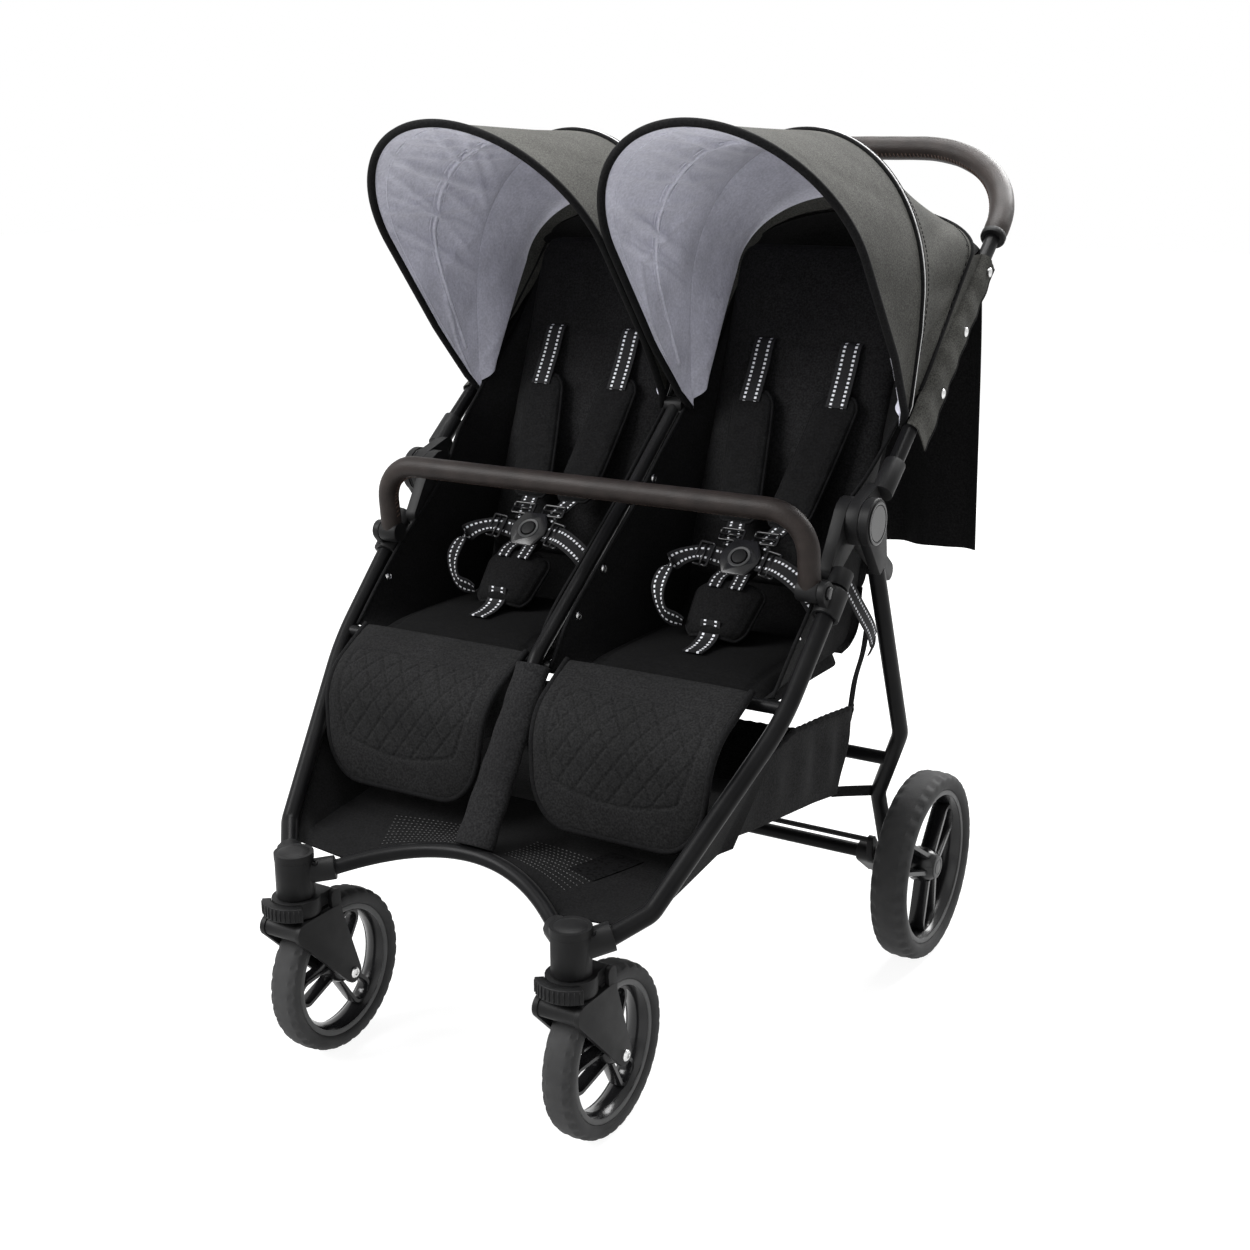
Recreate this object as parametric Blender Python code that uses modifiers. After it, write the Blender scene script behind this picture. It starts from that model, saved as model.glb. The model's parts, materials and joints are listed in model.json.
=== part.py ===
"""Side-by-side twin stroller with swivelling front wheels, modelled in metres, +Z up, front towards -Y.

Lengths behind the caster axes are given as ..._Y and are measured from those axes. The parent empty
moves the whole model so that its footprint is centred on the origin.
"""
import math

import bmesh
import bpy
import numpy as np
from mathutils import Matrix, Vector

# Driving dimensions, metres
CLEAR = 0.0003
CASTER_Y = -0.48113

# Wheels
WHEEL_STEPS = 28
REAR_WHEEL_RADIUS = 0.129
REAR_TYRE_WIDTH = 0.049
REAR_TYRE_DEPTH = 0.025
REAR_HUB_LENGTH = 0.044
REAR_HUB_RADIUS = 0.024
FRONT_WHEEL_RADIUS = 0.102
FRONT_TYRE_WIDTH = 0.039
FRONT_TYRE_DEPTH = 0.021
FRONT_HUB_LENGTH = 0.038
FRONT_HUB_RADIUS = 0.018
RIM_WALL = 0.012
SPOKE_ANGLES = (90, 210, 330)
SPOKE_WIDTH = 0.008
SPOKE_SPREAD = 0.011
STUB_RADIUS = 0.006
BORE_CLEAR = 0.0004

# Frame places
REAR_WHEEL_X = 0.334
REAR_AXLE_Y = 0.6655
CASTER_X = 0.194
CASTER_TRAIL = 0.063
HINGE_Y = 0.447
HINGE_Z = 0.648
HANDLE_RISE = math.radians(37.85)

# Hinge stack, from the inside out
HINGE_INNER_X = 0.296
HINGE_LAYER = 0.0155
HINGE_OUTER_LAYER = 0.013
HINGE_GAP = 0.0005
HINGE_DISC_RADIUS = 0.029
HINGE_BOSS_RADIUS = 0.022
HINGE_BOSS_HEIGHT = 0.0015
ARM_WIDTH = 0.024
EAR_INSET = 0.001
SLEEVE_RADIUS = 0.0135
HANDLE_SLEEVE_START = 0.046
FRONT_SLEEVE_START = 0.072
SLEEVE_END = 0.095
LEG_PLATE_END = 0.067

# Tubes
TUBE_SIDES = 10
FRONT_TUBE_RADIUS = 0.0108
FRONT_TUBE_X = 0.322
FRONT_BEND = (0.318, 0.250, 0.4555)
FRONT_BEND_RADIUS = 0.35
FRONT_TOE = (0.256, 0.064, 0.2825)
FRONT_TOE_RADIUS = 0.03
TOE_END_GAP = 0.0028
BRACKET_OUTER_END = (0.228, 0.030, 0.2635)
BRACKET_INNER_END = (0.155, 0.028, 0.2575)
CROSS_TUBE_RADIUS = 0.009
ARCH_MIDDLE_Y = 0.0885
ARCH_END_GAP = 0.0015
ARCH_MIDDLE_Z = 0.285
CENTRE_TUBE_RADIUS = 0.009
CENTRE_BEND_Y = 0.2315
CENTRE_BEND_Z = 0.490
CENTRE_KNUCKLE_RADIUS = 0.0157
SEAT_TUBE_RADIUS = 0.008
SEAT_TUBE_Y = 0.262
SEAT_TUBE_Z = 0.467
SEAT_TUBE_END_GAP = 0.0016

# Caster
HEAD_RADIUS = 0.023
HEAD_TOP_Z = 0.279
HEAD_BOTTOM_Z = 0.224
BRACKET_OUTER_RADIUS = 0.0165
BRACKET_INNER_RADIUS = 0.0145
COLLAR_RADIUS = 0.029
COLLAR_BOTTOM_Z = 0.2035
LOCK_DEPTH = 0.011
LOCK_HALF_ANGLE = math.radians(52)
FORK_PIN_Y = 0.037
FORK_PIN_Z = 0.2145
FORK_PIN_RADIUS = 0.0045
FORK_LUG_RADIUS = 0.0085
FORK_LEG_THICKNESS = 0.0065
FORK_TYRE_GAP = 0.004
FORK_CROWN_Y = -0.020
FORK_CROWN_Z = 0.1875
FORK_CROWN_RADIUS = 0.0135
FORK_AXLE_BOSS = 0.013

# Rear legs, axle and brake
LEG_RADIUS = 0.0105
LEG_UPPER_X = 0.331
LEG_LOWER_X = 0.285
LEG_JOG_TOP_Z = 0.345
LEG_JOG_BOTTOM_Z = 0.240
LEG_JOG_RADIUS = 0.05
AXLE_TUBE_RADIUS = 0.0095
AXLE_TUBE_END_X = 0.302
REAR_CROSS_Z = 0.300
BRAKE_ROD_RADIUS = 0.004
BRAKE_ROD_LIFT = 0.0222
BRAKE_ARM_X = 0.258
BRAKE_ARM_THICKNESS = 0.008
BRAKE_COLLAR_RADIUS = 0.0145
BRAKE_PEDAL_LENGTH = 0.052

# Handle
HANDLE_X = 0.330
HANDLE_TUBE_RADIUS = 0.0095
HANDLE_TOP_X = 0.3225
HANDLE_REACH = 0.6827
HANDLE_CORNER = 0.165
GRIP_RADIUS = 0.0165
GRIP_LEG = 0.1847
PIVOT_REACH = 0.156
PIVOT_LIFT = 0.0033
PIVOT_PIN_HALF = 0.0125
CENTRE_ARM_RADIUS = 0.008

# Bumper bar
BAR_X = 0.3035
BAR_RADIUS = 0.0135
BAR_RISE = 0.0935
BAR_LEAN = math.radians(96)
BAR_CORNER = 0.05
CLAMP_REACH = 0.1175
CLAMP_LENGTH = 0.036
CLAMP_RADIUS = 0.0165
CLAMP_LIFT = 0.0262
EAR_THICKNESS = 0.0095
BUTTON_RADIUS = 0.0075
BUTTON_HEIGHT = 0.0057
BUTTON_TRAVEL = 0.003
POCKET_FLOOR = 0.004

# Seats
SEAT_INNER_X = 0.028
SEAT_OUTER_X = 0.288
SEAT_BACK_Y = 0.500
SEAT_TOP_Z = 0.492
SEAT_BOTTOM_Z = 0.455
BACK_PIVOT_Y = 0.566
BACK_PIVOT_Z = 0.560
BACK_TUBE_RADIUS = 0.008
BACK_LEAN = math.radians(69.5)
BACK_BELOW = 0.040
BACK_REACH = 0.410
BACK_THICKNESS = 0.029
LEG_REST_INNER_X = 0.030
LEG_REST_OUTER_X = 0.278
LEG_REST_PATH = ((0.2526, 0.4848), (0.166, 0.4385), (0.1535, 0.313))
LEG_REST_BEND = 0.07
LEG_REST_THICKNESS = 0.014
LEG_REST_CORNER = 0.045

# Harness
STRAP_BASE_Y = 0.3755
STRAP_BASE_Z = 0.504
STRAP_RISE = math.radians(42.6)
CROTCH_START = -0.0183
CROTCH_END = 0.082
CROTCH_WIDTH = 0.086
CROTCH_THICKNESS = 0.010
BUCKLE_LENGTH = 0.054
BUCKLE_WIDTH = 0.056
BUCKLE_THICKNESS = 0.018
BUCKLE_BUTTON_RADIUS = 0.010
BUCKLE_BUTTON_HEIGHT = 0.0065
BUCKLE_POCKET_FLOOR = 0.010

# Canopies
CANOPY_X = 0.170
CANOPY_HALF_WIDTH = 0.1555
CANOPY_SPREAD_HEIGHT = 0.10
FRONT_BASE_HEIGHT = 0.014
REAR_BASE_HEIGHT = 0.050
CLOTH = 0.003
RIM_TILT = 0.672
RIM_HEIGHT = 0.456
RIM_STRAIGHT = 0.265
RIM_HALF_WIDTH = 0.1645
BOW_TILT = -0.08
BOW_HEIGHT = 0.347
BOW_STRAIGHT = 0.150
BOW_HALF_WIDTH = 0.1625
REAR_TILT = -0.784
REAR_HEIGHT = 0.345
REAR_STRAIGHT = 0.270
SEAM_GAP = 0.0008

# Rear flap
FLAP_HALF_WIDTH = 0.3145
FLAP_TOP_HALF_WIDTH = 0.235
FLAP_TOP_DROP = 0.002
FLAP_BOTTOM_Y = 0.866
FLAP_BOTTOM_Z = 0.525
FLAP_FOLD_DEPTH = 0.005
FLAP_FOLDS = 7

# Foot tray and basket
TRAY_BACK_Y = 0.255
TRAY_BACK_Z = 0.287
TRAY_BACK_X = 0.255
TRAY_THICKNESS = 0.003
TRAY_BRACKET_GAP = 0.03
TRAY_SAG = 0.010
TRAY_TUBE_GAP = 0.0012
TRAY_TUBE_START = 0.06
TRAY_TUBE_END = 0.97
TRAY_EDGE_X = 0.245
BASKET_FRONT_Y = 0.2567
BASKET_FRONT_Z = 0.288
BASKET_MID_Y = 0.400
BASKET_FRONT_LIP = 0.004
BASKET_MID_BOTTOM_Z = 0.275
BASKET_MID_TOP_Z = 0.389
BASKET_REAR_BOTTOM_Z = 0.249
BASKET_REAR_TOP_Z = 0.370
BASKET_REAR_RUN = 0.02
BASKET_SAG = 0.014
BASKET_HALF_WIDTH = 0.262

# Worked out from the driving dimensions
HINGE = Vector((0.0, HINGE_Y, HINGE_Z))
HINGE_MIDDLE_X = HINGE_INNER_X + HINGE_LAYER + HINGE_GAP
HINGE_OUTER_X = HINGE_MIDDLE_X + HINGE_LAYER + HINGE_GAP
HANDLE_WAY = Vector((0.0, math.cos(HANDLE_RISE), math.sin(HANDLE_RISE)))
HANDLE_UP = Vector((0.0, -math.sin(HANDLE_RISE), math.cos(HANDLE_RISE)))
FRONT_WAY = Vector((0.0, FRONT_BEND[1] - HINGE_Y, FRONT_BEND[2] - HINGE_Z)).normalized()
FRONT_UP = Vector((0.0, FRONT_WAY.z, -FRONT_WAY.y))
FRONT_TUBE_TOP = HINGE + FRONT_WAY * (SLEEVE_END + CLEAR) + Vector((FRONT_TUBE_X, 0.0, 0.0))
FRONT_TUBE_WAY = (Vector(FRONT_BEND) - FRONT_TUBE_TOP).normalized()
REAR_AXLE = Vector((0.0, REAR_AXLE_Y, REAR_WHEEL_RADIUS))
LEG_WAY = (REAR_AXLE - HINGE).normalized()
CANOPY_PIVOT = HINGE + HANDLE_WAY * PIVOT_REACH + HANDLE_UP * PIVOT_LIFT
BAR_PIVOT = HINGE + FRONT_WAY * CLAMP_REACH + FRONT_UP * CLAMP_LIFT
BAR_WAY = Vector((0.0, math.cos(BAR_LEAN), math.sin(BAR_LEAN)))
BACK_PIVOT = Vector((0.0, BACK_PIVOT_Y, BACK_PIVOT_Z))
BACK_WAY = Vector((0.0, math.cos(BACK_LEAN), math.sin(BACK_LEAN)))
BACK_FRONT = Vector((0.0, -math.sin(BACK_LEAN), math.cos(BACK_LEAN)))
SEAT_TUBE = Vector((0.0, SEAT_TUBE_Y, SEAT_TUBE_Z))
STRAP_BASE = Vector((0.0, STRAP_BASE_Y, STRAP_BASE_Z))
STRAP_WAY = Vector((0.0, math.cos(STRAP_RISE), math.sin(STRAP_RISE)))
STRAP_UP = Vector((0.0, -math.sin(STRAP_RISE), math.cos(STRAP_RISE)))
SEAT_X = (SEAT_INNER_X + SEAT_OUTER_X) / 2
SIDES = (("left", -1), ("right", 1))

for old in list(bpy.data.objects):
    bpy.data.objects.remove(old)
PARTS = bpy.data.collections.new("twin_stroller")
CUTTERS = bpy.data.collections.new("cutters")
bpy.context.scene.collection.children.link(PARTS)
bpy.context.scene.collection.children.link(CUTTERS)
FRAME = bpy.data.objects.new("stroller_frame", None)
FRAME.location = (0, CASTER_Y, 0)
PARTS.objects.link(FRAME)


def finish_material(name, colour, roughness, metallic=0.0):
    material = bpy.data.materials.new(name)
    material.use_nodes = True
    shader = material.node_tree.nodes["Principled BSDF"]
    shader.inputs["Base Color"].default_value = (*colour, 1)
    shader.inputs["Roughness"].default_value = roughness
    shader.inputs["Metallic"].default_value = metallic
    return material


BLACK_TUBE = ((0.012, 0.012, 0.013), 0.32, 0.6)
BLACK_PLASTIC = ((0.014, 0.014, 0.015), 0.5)
GLOSS_PLASTIC = ((0.010, 0.010, 0.011), 0.2)
RUBBER = ((0.035, 0.035, 0.037), 0.8)
LEATHER = ((0.065, 0.048, 0.042), 0.5)
BLACK_CLOTH = ((0.012, 0.012, 0.013), 0.9)
GREY_CLOTH = ((0.090, 0.088, 0.084), 0.9)
CHARCOAL_CLOTH = ((0.040, 0.041, 0.043), 0.9)


def add(name, mesh, look, pivot=(0, 0, 0)):
    """Put a mesh in the model as a named part whose origin lies on its pivot."""
    pivot = Vector(pivot)
    mesh.name = name
    mesh.transform(Matrix.Translation(-pivot))
    mesh.shade_smooth()
    mesh.set_sharp_from_angle(angle=math.radians(35))
    mesh.materials.clear()
    mesh.materials.append(finish_material(name, *look))
    part = bpy.data.objects.new(name, mesh)
    part.location = pivot
    part.parent = FRAME
    PARTS.objects.link(part)
    return part


def hidden(data):
    """A helper object that stays out of the model: a cutter, or a shape still being made."""
    helper = bpy.data.objects.new("helper", data)
    helper.hide_render = True
    helper.display_type = "WIRE"
    CUTTERS.objects.link(helper)
    return helper


def baked(helper):
    """The evaluated shape of a helper as one welded mesh with its faces outwards."""
    bpy.context.view_layer.update()
    graph = bpy.context.evaluated_depsgraph_get()
    mesh = bpy.data.meshes.new_from_object(helper.evaluated_get(graph))
    mesh.transform(helper.matrix_world)
    welded = bmesh.new()
    welded.from_mesh(mesh)
    bmesh.ops.remove_doubles(welded, verts=welded.verts, dist=0.00002)
    bmesh.ops.recalc_face_normals(welded, faces=welded.faces)
    welded.to_mesh(mesh)
    welded.free()
    bpy.data.objects.remove(helper)
    return mesh


def combined(base, others, operation):
    """Boolean of a mesh with others: UNION joins them to it and DIFFERENCE cuts them out."""
    helper = hidden(base)
    tools = [hidden(other) for other in others]
    for tool in tools:
        step = helper.modifiers.new("boolean", "BOOLEAN")
        step.operation = operation
        step.solver = "EXACT"
        step.object = tool
    mesh = baked(helper)
    for tool in tools:
        bpy.data.objects.remove(tool)
    return mesh


def fused(base, *others):
    return combined(base, others, "UNION")


def cut(base, *others):
    return combined(base, others, "DIFFERENCE")


def rounded_path(points, radii, steps=6):
    """A run of straight lines through points, with an arc of each inner point's radius."""
    points = [Vector(point) for point in points]
    path = [points[0]]
    for before, corner, after, radius in zip(points, points[1:], points[2:], radii):
        into = (corner - before).normalized()
        out = (after - corner).normalized()
        turn = into.angle(out)
        reach = radius * math.tan(turn / 2)
        centre = corner + (out - into).normalized() * radius / math.cos(turn / 2)
        start = corner - into * reach - centre
        axis = into.cross(out).normalized()
        for step in range(steps + 1):
            path.append(centre + Matrix.Rotation(turn * step / steps, 3, axis) @ start)
    path.append(points[-1])
    return path


def tube(path, radius, sides=TUBE_SIDES):
    """A round bar along a path, from a curve with filled caps."""
    curve = bpy.data.curves.new("tube", "CURVE")
    curve.dimensions = "3D"
    spline = curve.splines.new("POLY")
    spline.points.add(len(path) - 1)
    for point, place in zip(spline.points, path):
        point.co = (*place, 1)
    curve.bevel_depth = radius
    curve.bevel_resolution = (sides - 4) // 2
    curve.use_fill_caps = True
    return baked(hidden(curve))


def rod(start, end, radius, end_radius=None, sides=16):
    """A straight round bar or taper between two points."""
    start = Vector(start)
    way = Vector(end) - start
    shape = bmesh.new()
    turn = way.to_track_quat("Z", "X").to_matrix().to_4x4()
    place = Matrix.Translation(start + way / 2) @ turn
    bmesh.ops.create_cone(shape, cap_ends=True, segments=sides, radius1=radius,
                          radius2=radius if end_radius is None else end_radius,
                          depth=way.length, matrix=place)
    mesh = bpy.data.meshes.new("rod")
    shape.to_mesh(mesh)
    shape.free()
    return mesh


def circle_points(centre, radius, start, end, steps):
    """Points of an arc in the side plane, as (y, z), angles from +Y towards +Z."""
    turns = [start + (end - start) * step / steps for step in range(steps + 1)]
    return [(centre[0] + radius * math.cos(t), centre[1] + radius * math.sin(t)) for t in turns]


def link_outline(first, first_radius, last, last_radius, steps=8):
    """The outline round two circles in the side plane and the straight lines that touch both."""
    way = Vector((last[0] - first[0], last[1] - first[1]))
    heading = math.atan2(way.y, way.x)
    lean = math.acos((first_radius - last_radius) / way.length)
    front = circle_points(last, last_radius, heading - lean, heading + lean, steps)
    back = circle_points(first, first_radius, heading + lean, heading + 2 * math.pi - lean, steps)
    return front + back


def band_outline(circles, steps=20):
    """The outline of a band stretched round several (y, z, radius) circles in the side plane."""
    points = []
    for y, z, radius in circles:
        points += circle_points((y, z), radius, 0, 2 * math.pi, steps)[:-1]
    points.sort()
    halves = []
    for run in (points, points[::-1]):
        half = []
        for point in run:
            while len(half) > 1 and turn_of(half[-2], half[-1], point) <= 1e-12:
                half.pop()
            half.append(point)
        halves += half[:-1]
    return halves


def turn_of(first, middle, last):
    """Twice the signed area of three points: positive where they turn to the left."""
    return ((middle[0] - first[0]) * (last[1] - first[1])
            - (middle[1] - first[1]) * (last[0] - first[0]))


def plate(outline, x_from, x_to):
    """A flat piece with a (y, z) outline, between two X planes."""
    curve = bpy.data.curves.new("plate", "CURVE")
    curve.dimensions = "2D"
    curve.fill_mode = "BOTH"
    curve.extrude = (x_to - x_from) / 2
    spline = curve.splines.new("POLY")
    spline.points.add(len(outline) - 1)
    spline.use_cyclic_u = True
    for point, place in zip(spline.points, outline):
        point.co = (*place, 0, 1)
    helper = hidden(curve)
    sideways = Matrix(((0, 0, 1), (1, 0, 0), (0, 1, 0))).to_4x4()
    helper.matrix_world = Matrix.Translation(((x_from + x_to) / 2, 0, 0)) @ sideways
    return baked(helper)


def turned(profile, centre, closed, steps=WHEEL_STEPS):
    """A shape of revolution about an X axis, from (radius, x) points, with a facet at the bottom."""
    helper = hidden(bpy.data.meshes.new("profile"))
    edges = [(i, i + 1) for i in range(len(profile) - 1)]
    if closed:
        edges.append((len(profile) - 1, 0))
    helper.data.from_pydata([(x, 0, -radius) for radius, x in profile], edges, [])
    screw = helper.modifiers.new("turn", "SCREW")
    screw.axis = "X"
    screw.steps = steps
    screw.render_steps = steps
    screw.use_merge_vertices = True
    screw.merge_threshold = 0.00005
    half_facet = Matrix.Rotation(math.pi / steps, 4, "X")
    helper.matrix_world = Matrix.Translation(Vector(centre)) @ half_facet
    return baked(helper)


def sheet(grid, thickness, offset=0.0):
    """A cloth shell: a loft through a grid of points, given a thickness."""
    rows, columns = grid.shape[:2]
    index = np.arange(rows * columns).reshape(rows, columns)
    faces = np.stack([index[:-1, :-1], index[1:, :-1], index[1:, 1:], index[:-1, 1:]], -1)
    helper = hidden(bpy.data.meshes.new("sheet"))
    helper.data.from_pydata(grid.reshape(-1, 3).tolist(), [], faces.reshape(-1, 4).tolist())
    wall = helper.modifiers.new("wall", "SOLIDIFY")
    wall.thickness = thickness
    wall.offset = offset
    return baked(helper)


def cushion(shape, cuts=2):
    """A soft block: a subdivided cube whose (u, v, w) in -1..1 goes through shape, then smoothed."""
    cage = bmesh.new()
    bmesh.ops.create_cube(cage, size=2.0)
    bmesh.ops.subdivide_edges(cage, edges=cage.edges, cuts=cuts, use_grid_fill=True)
    for vert in cage.verts:
        vert.co = shape(*vert.co)
    mesh = bpy.data.meshes.new("cushion")
    cage.to_mesh(mesh)
    cage.free()
    helper = hidden(mesh)
    soft = helper.modifiers.new("soft", "SUBSURF")
    soft.levels = 1
    soft.render_levels = 1
    return baked(helper)


def side_point(point, side):
    return Vector((point[0] * side, point[1], point[2]))


def at_x(point, x):
    return Vector((x, point.y, point.z))


def x_span(side, inner, outer):
    return (inner, outer) if side > 0 else (-outer, -inner)


def wheel(name, centre, radius, width, depth, hub_radius, hub_length):
    """A tyre and a rim with a hub and three pairs of ribs, turned about the axle."""
    tread = radius / math.cos(math.pi / WHEEL_STEPS)
    bead = radius - depth
    half = width / 2
    tyre = [(bead, -0.72 * half), (bead + 0.4 * depth, -half), (tread - 0.28 * depth, -0.94 * half),
            (tread, -0.55 * half), (tread, 0.55 * half), (tread - 0.28 * depth, 0.94 * half),
            (bead + 0.4 * depth, half), (bead, 0.72 * half)]
    add(f"{name}_tyre", turned(tyre, centre, True), RUBBER, centre)
    outer = bead - CLEAR
    seat = 0.70 * half
    ring = [(outer, -seat), (outer, seat), (outer - 0.5 * RIM_WALL, seat),
            (outer - RIM_WALL, 0.5 * seat), (outer - RIM_WALL, -0.5 * seat),
            (outer - 0.5 * RIM_WALL, -seat)]
    end = hub_length / 2
    bore = STUB_RADIUS + BORE_CLEAR
    hub = [(bore, -end), (bore, end), (0.75 * hub_radius, end), (hub_radius, 0.6 * end),
           (hub_radius, -0.6 * end), (0.75 * hub_radius, -end)]
    ribs = []
    for angle in SPOKE_ANGLES:
        for spread in (-SPOKE_SPREAD, SPOKE_SPREAD):
            rib = bmesh.new()
            bmesh.ops.create_cube(rib, size=1.0)
            start = 0.7 * hub_radius
            length = outer - 0.5 * RIM_WALL - start
            grow = Matrix.Diagonal((0.9 * seat, length, SPOKE_WIDTH, 1))
            move = Matrix.Translation((0, start + length / 2, spread))
            spin = Matrix.Translation(centre) @ Matrix.Rotation(math.radians(angle), 4, "X")
            bmesh.ops.transform(rib, verts=rib.verts, matrix=spin @ move @ grow)
            mesh = bpy.data.meshes.new("rib")
            rib.to_mesh(mesh)
            rib.free()
            ribs.append(mesh)
    rim = fused(turned(ring, centre, True), turned(hub, centre, True, 16), *ribs)
    add(f"{name}_rim", rim, GLOSS_PLASTIC, centre)


# Front side tubes, cross tube and caster brackets
def arch_point(x):
    """The front cross tube is a shallow arch that bows back and up towards the middle."""
    share = (x / BRACKET_INNER_END[0]) ** 2
    return Vector((x, ARCH_MIDDLE_Y + (BRACKET_INNER_END[1] - ARCH_MIDDLE_Y) * share,
                   ARCH_MIDDLE_Z + (BRACKET_INNER_END[2] - ARCH_MIDDLE_Z) * share))


def front_frame():
    arch = [arch_point(x) for x in np.linspace(-1, 1, 15) * (BRACKET_INNER_END[0] - ARCH_END_GAP)]
    add("front_cross_tube", tube(arch, CROSS_TUBE_RADIUS), BLACK_TUBE)
    for name, side in SIDES:
        toe = Vector(BRACKET_OUTER_END)
        toe += (Vector(FRONT_TOE) - toe).normalized() * TOE_END_GAP
        path = rounded_path([FRONT_TUBE_TOP, FRONT_BEND, FRONT_TOE, toe],
                            (FRONT_BEND_RADIUS, FRONT_TOE_RADIUS))
        add(f"front_tube_{name}", tube([side_point(p, side) for p in path], FRONT_TUBE_RADIUS), BLACK_TUBE)
        axis = Vector((CASTER_X * side, 0, 0))
        head = rod(axis + Vector((0, 0, HEAD_BOTTOM_Z)), axis + Vector((0, 0, HEAD_TOP_Z)), HEAD_RADIUS)
        root = axis + Vector((0, 0, (HEAD_BOTTOM_Z + HEAD_TOP_Z) / 2))
        outer_end = side_point(BRACKET_OUTER_END, side)
        inner_end = side_point(BRACKET_INNER_END, side)
        arms = (rod(root, outer_end, BRACKET_OUTER_RADIUS, sides=12),
                rod(root, inner_end, BRACKET_INNER_RADIUS, sides=12))
        add(f"caster_bracket_{name}", fused(head, *arms), BLACK_PLASTIC)


# Casters: collar with a lug, swivel lock tab, fork with two legs, and the front wheel
def casters():
    half_gap = FRONT_TYRE_WIDTH / 2 + FORK_TYRE_GAP
    for name, side in SIDES:
        axis = Vector((CASTER_X * side, 0, 0))
        pin = axis + Vector((0, FORK_PIN_Y, FORK_PIN_Z))
        wheel_centre = axis + Vector((0, CASTER_TRAIL, FRONT_WHEEL_RADIUS))
        collar_top = HEAD_BOTTOM_Z - CLEAR
        collar = rod(axis + Vector((0, 0, COLLAR_BOTTOM_Z)), axis + Vector((0, 0, collar_top)),
                     COLLAR_RADIUS, sides=24)
        lug_half = half_gap - CLEAR
        lug = plate(link_outline((0.012, FORK_PIN_Z), FORK_LUG_RADIUS, (FORK_PIN_Y, FORK_PIN_Z), FORK_LUG_RADIUS),
                    axis.x - lug_half, axis.x + lug_half)
        hole = rod(pin - Vector((0.1, 0, 0)), pin + Vector((0.1, 0, 0)), FORK_PIN_RADIUS + BORE_CLEAR)
        add(f"caster_stem_{name}", cut(fused(collar, lug), hole), BLACK_PLASTIC, axis)
        inner = COLLAR_RADIUS + CLEAR
        turns = (-math.pi / 2 - LOCK_HALF_ANGLE, -math.pi / 2 + LOCK_HALF_ANGLE)
        arc = circle_points((axis.x, 0), inner, turns[0], turns[1], 8)
        arc += circle_points((axis.x, 0), inner + LOCK_DEPTH, turns[1], turns[0], 8)
        add(f"swivel_lock_{name}", upright(arc, COLLAR_BOTTOM_Z + 0.0015, collar_top - 0.0015), BLACK_PLASTIC, axis)
        crown = Vector((0, FORK_CROWN_Y, FORK_CROWN_Z))
        legs = []
        for face in (-1, 1):
            span = x_span(face, half_gap, half_gap + FORK_LEG_THICKNESS)
            span = (axis.x + span[0], axis.x + span[1])
            shoulder = (FORK_PIN_Y, COLLAR_BOTTOM_Z - FORK_LUG_RADIUS - 0.0015)
            legs.append(plate(band_outline(((FORK_CROWN_Y, FORK_CROWN_Z, FORK_CROWN_RADIUS),
                                            (*shoulder, FORK_LUG_RADIUS),
                                            (CASTER_TRAIL, FRONT_WHEEL_RADIUS, FORK_AXLE_BOSS))), *span))
            legs.append(plate(link_outline((FORK_PIN_Y, FORK_PIN_Z), FORK_LUG_RADIUS,
                                           (shoulder[0] + 0.002, shoulder[1] - 0.006), FORK_LUG_RADIUS - 0.001),
                              span[0] + 0.0005, span[1] - 0.0005))
        reach = Vector((half_gap + FORK_LEG_THICKNESS, 0, 0))
        bridge = rod(axis + crown - reach * 0.96, axis + crown + reach * 0.96, FORK_CROWN_RADIUS - 0.0015)
        pivot_pin = rod(pin - reach * 0.98, pin + reach * 0.98, FORK_PIN_RADIUS)
        axle_pin = rod(wheel_centre - reach * 0.98, wheel_centre + reach * 0.98, STUB_RADIUS)
        add(f"front_fork_{name}", fused(bridge, *legs, pivot_pin, axle_pin), BLACK_PLASTIC, pin)
        wheel(f"front_{name}", wheel_centre, FRONT_WHEEL_RADIUS, FRONT_TYRE_WIDTH, FRONT_TYRE_DEPTH,
              FRONT_HUB_RADIUS, FRONT_HUB_LENGTH)


def upright(outline, bottom, top):
    """A flat piece with an (x, y) outline between two heights."""
    curve = bpy.data.curves.new("upright", "CURVE")
    curve.dimensions = "2D"
    curve.fill_mode = "BOTH"
    curve.extrude = (top - bottom) / 2
    spline = curve.splines.new("POLY")
    spline.points.add(len(outline) - 1)
    spline.use_cyclic_u = True
    for point, place in zip(spline.points, outline):
        point.co = (*place, 0, 1)
    helper = hidden(curve)
    helper.location = (0, 0, (top + bottom) / 2)
    return baked(helper)


# Hinge arms: three layers on each side, turning about the hinge axis
def hinge_layer(way, span, plate_end, side, extra=()):
    """A disc on the hinge axis with an arm along way, between two X planes."""
    tip = HINGE + way * plate_end
    outline = link_outline((HINGE.y, HINGE.z), HINGE_DISC_RADIUS, (tip.y, tip.z), ARM_WIDTH / 2, 10)
    return fused(plate(outline, *x_span(side, *span)), *extra)


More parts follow.
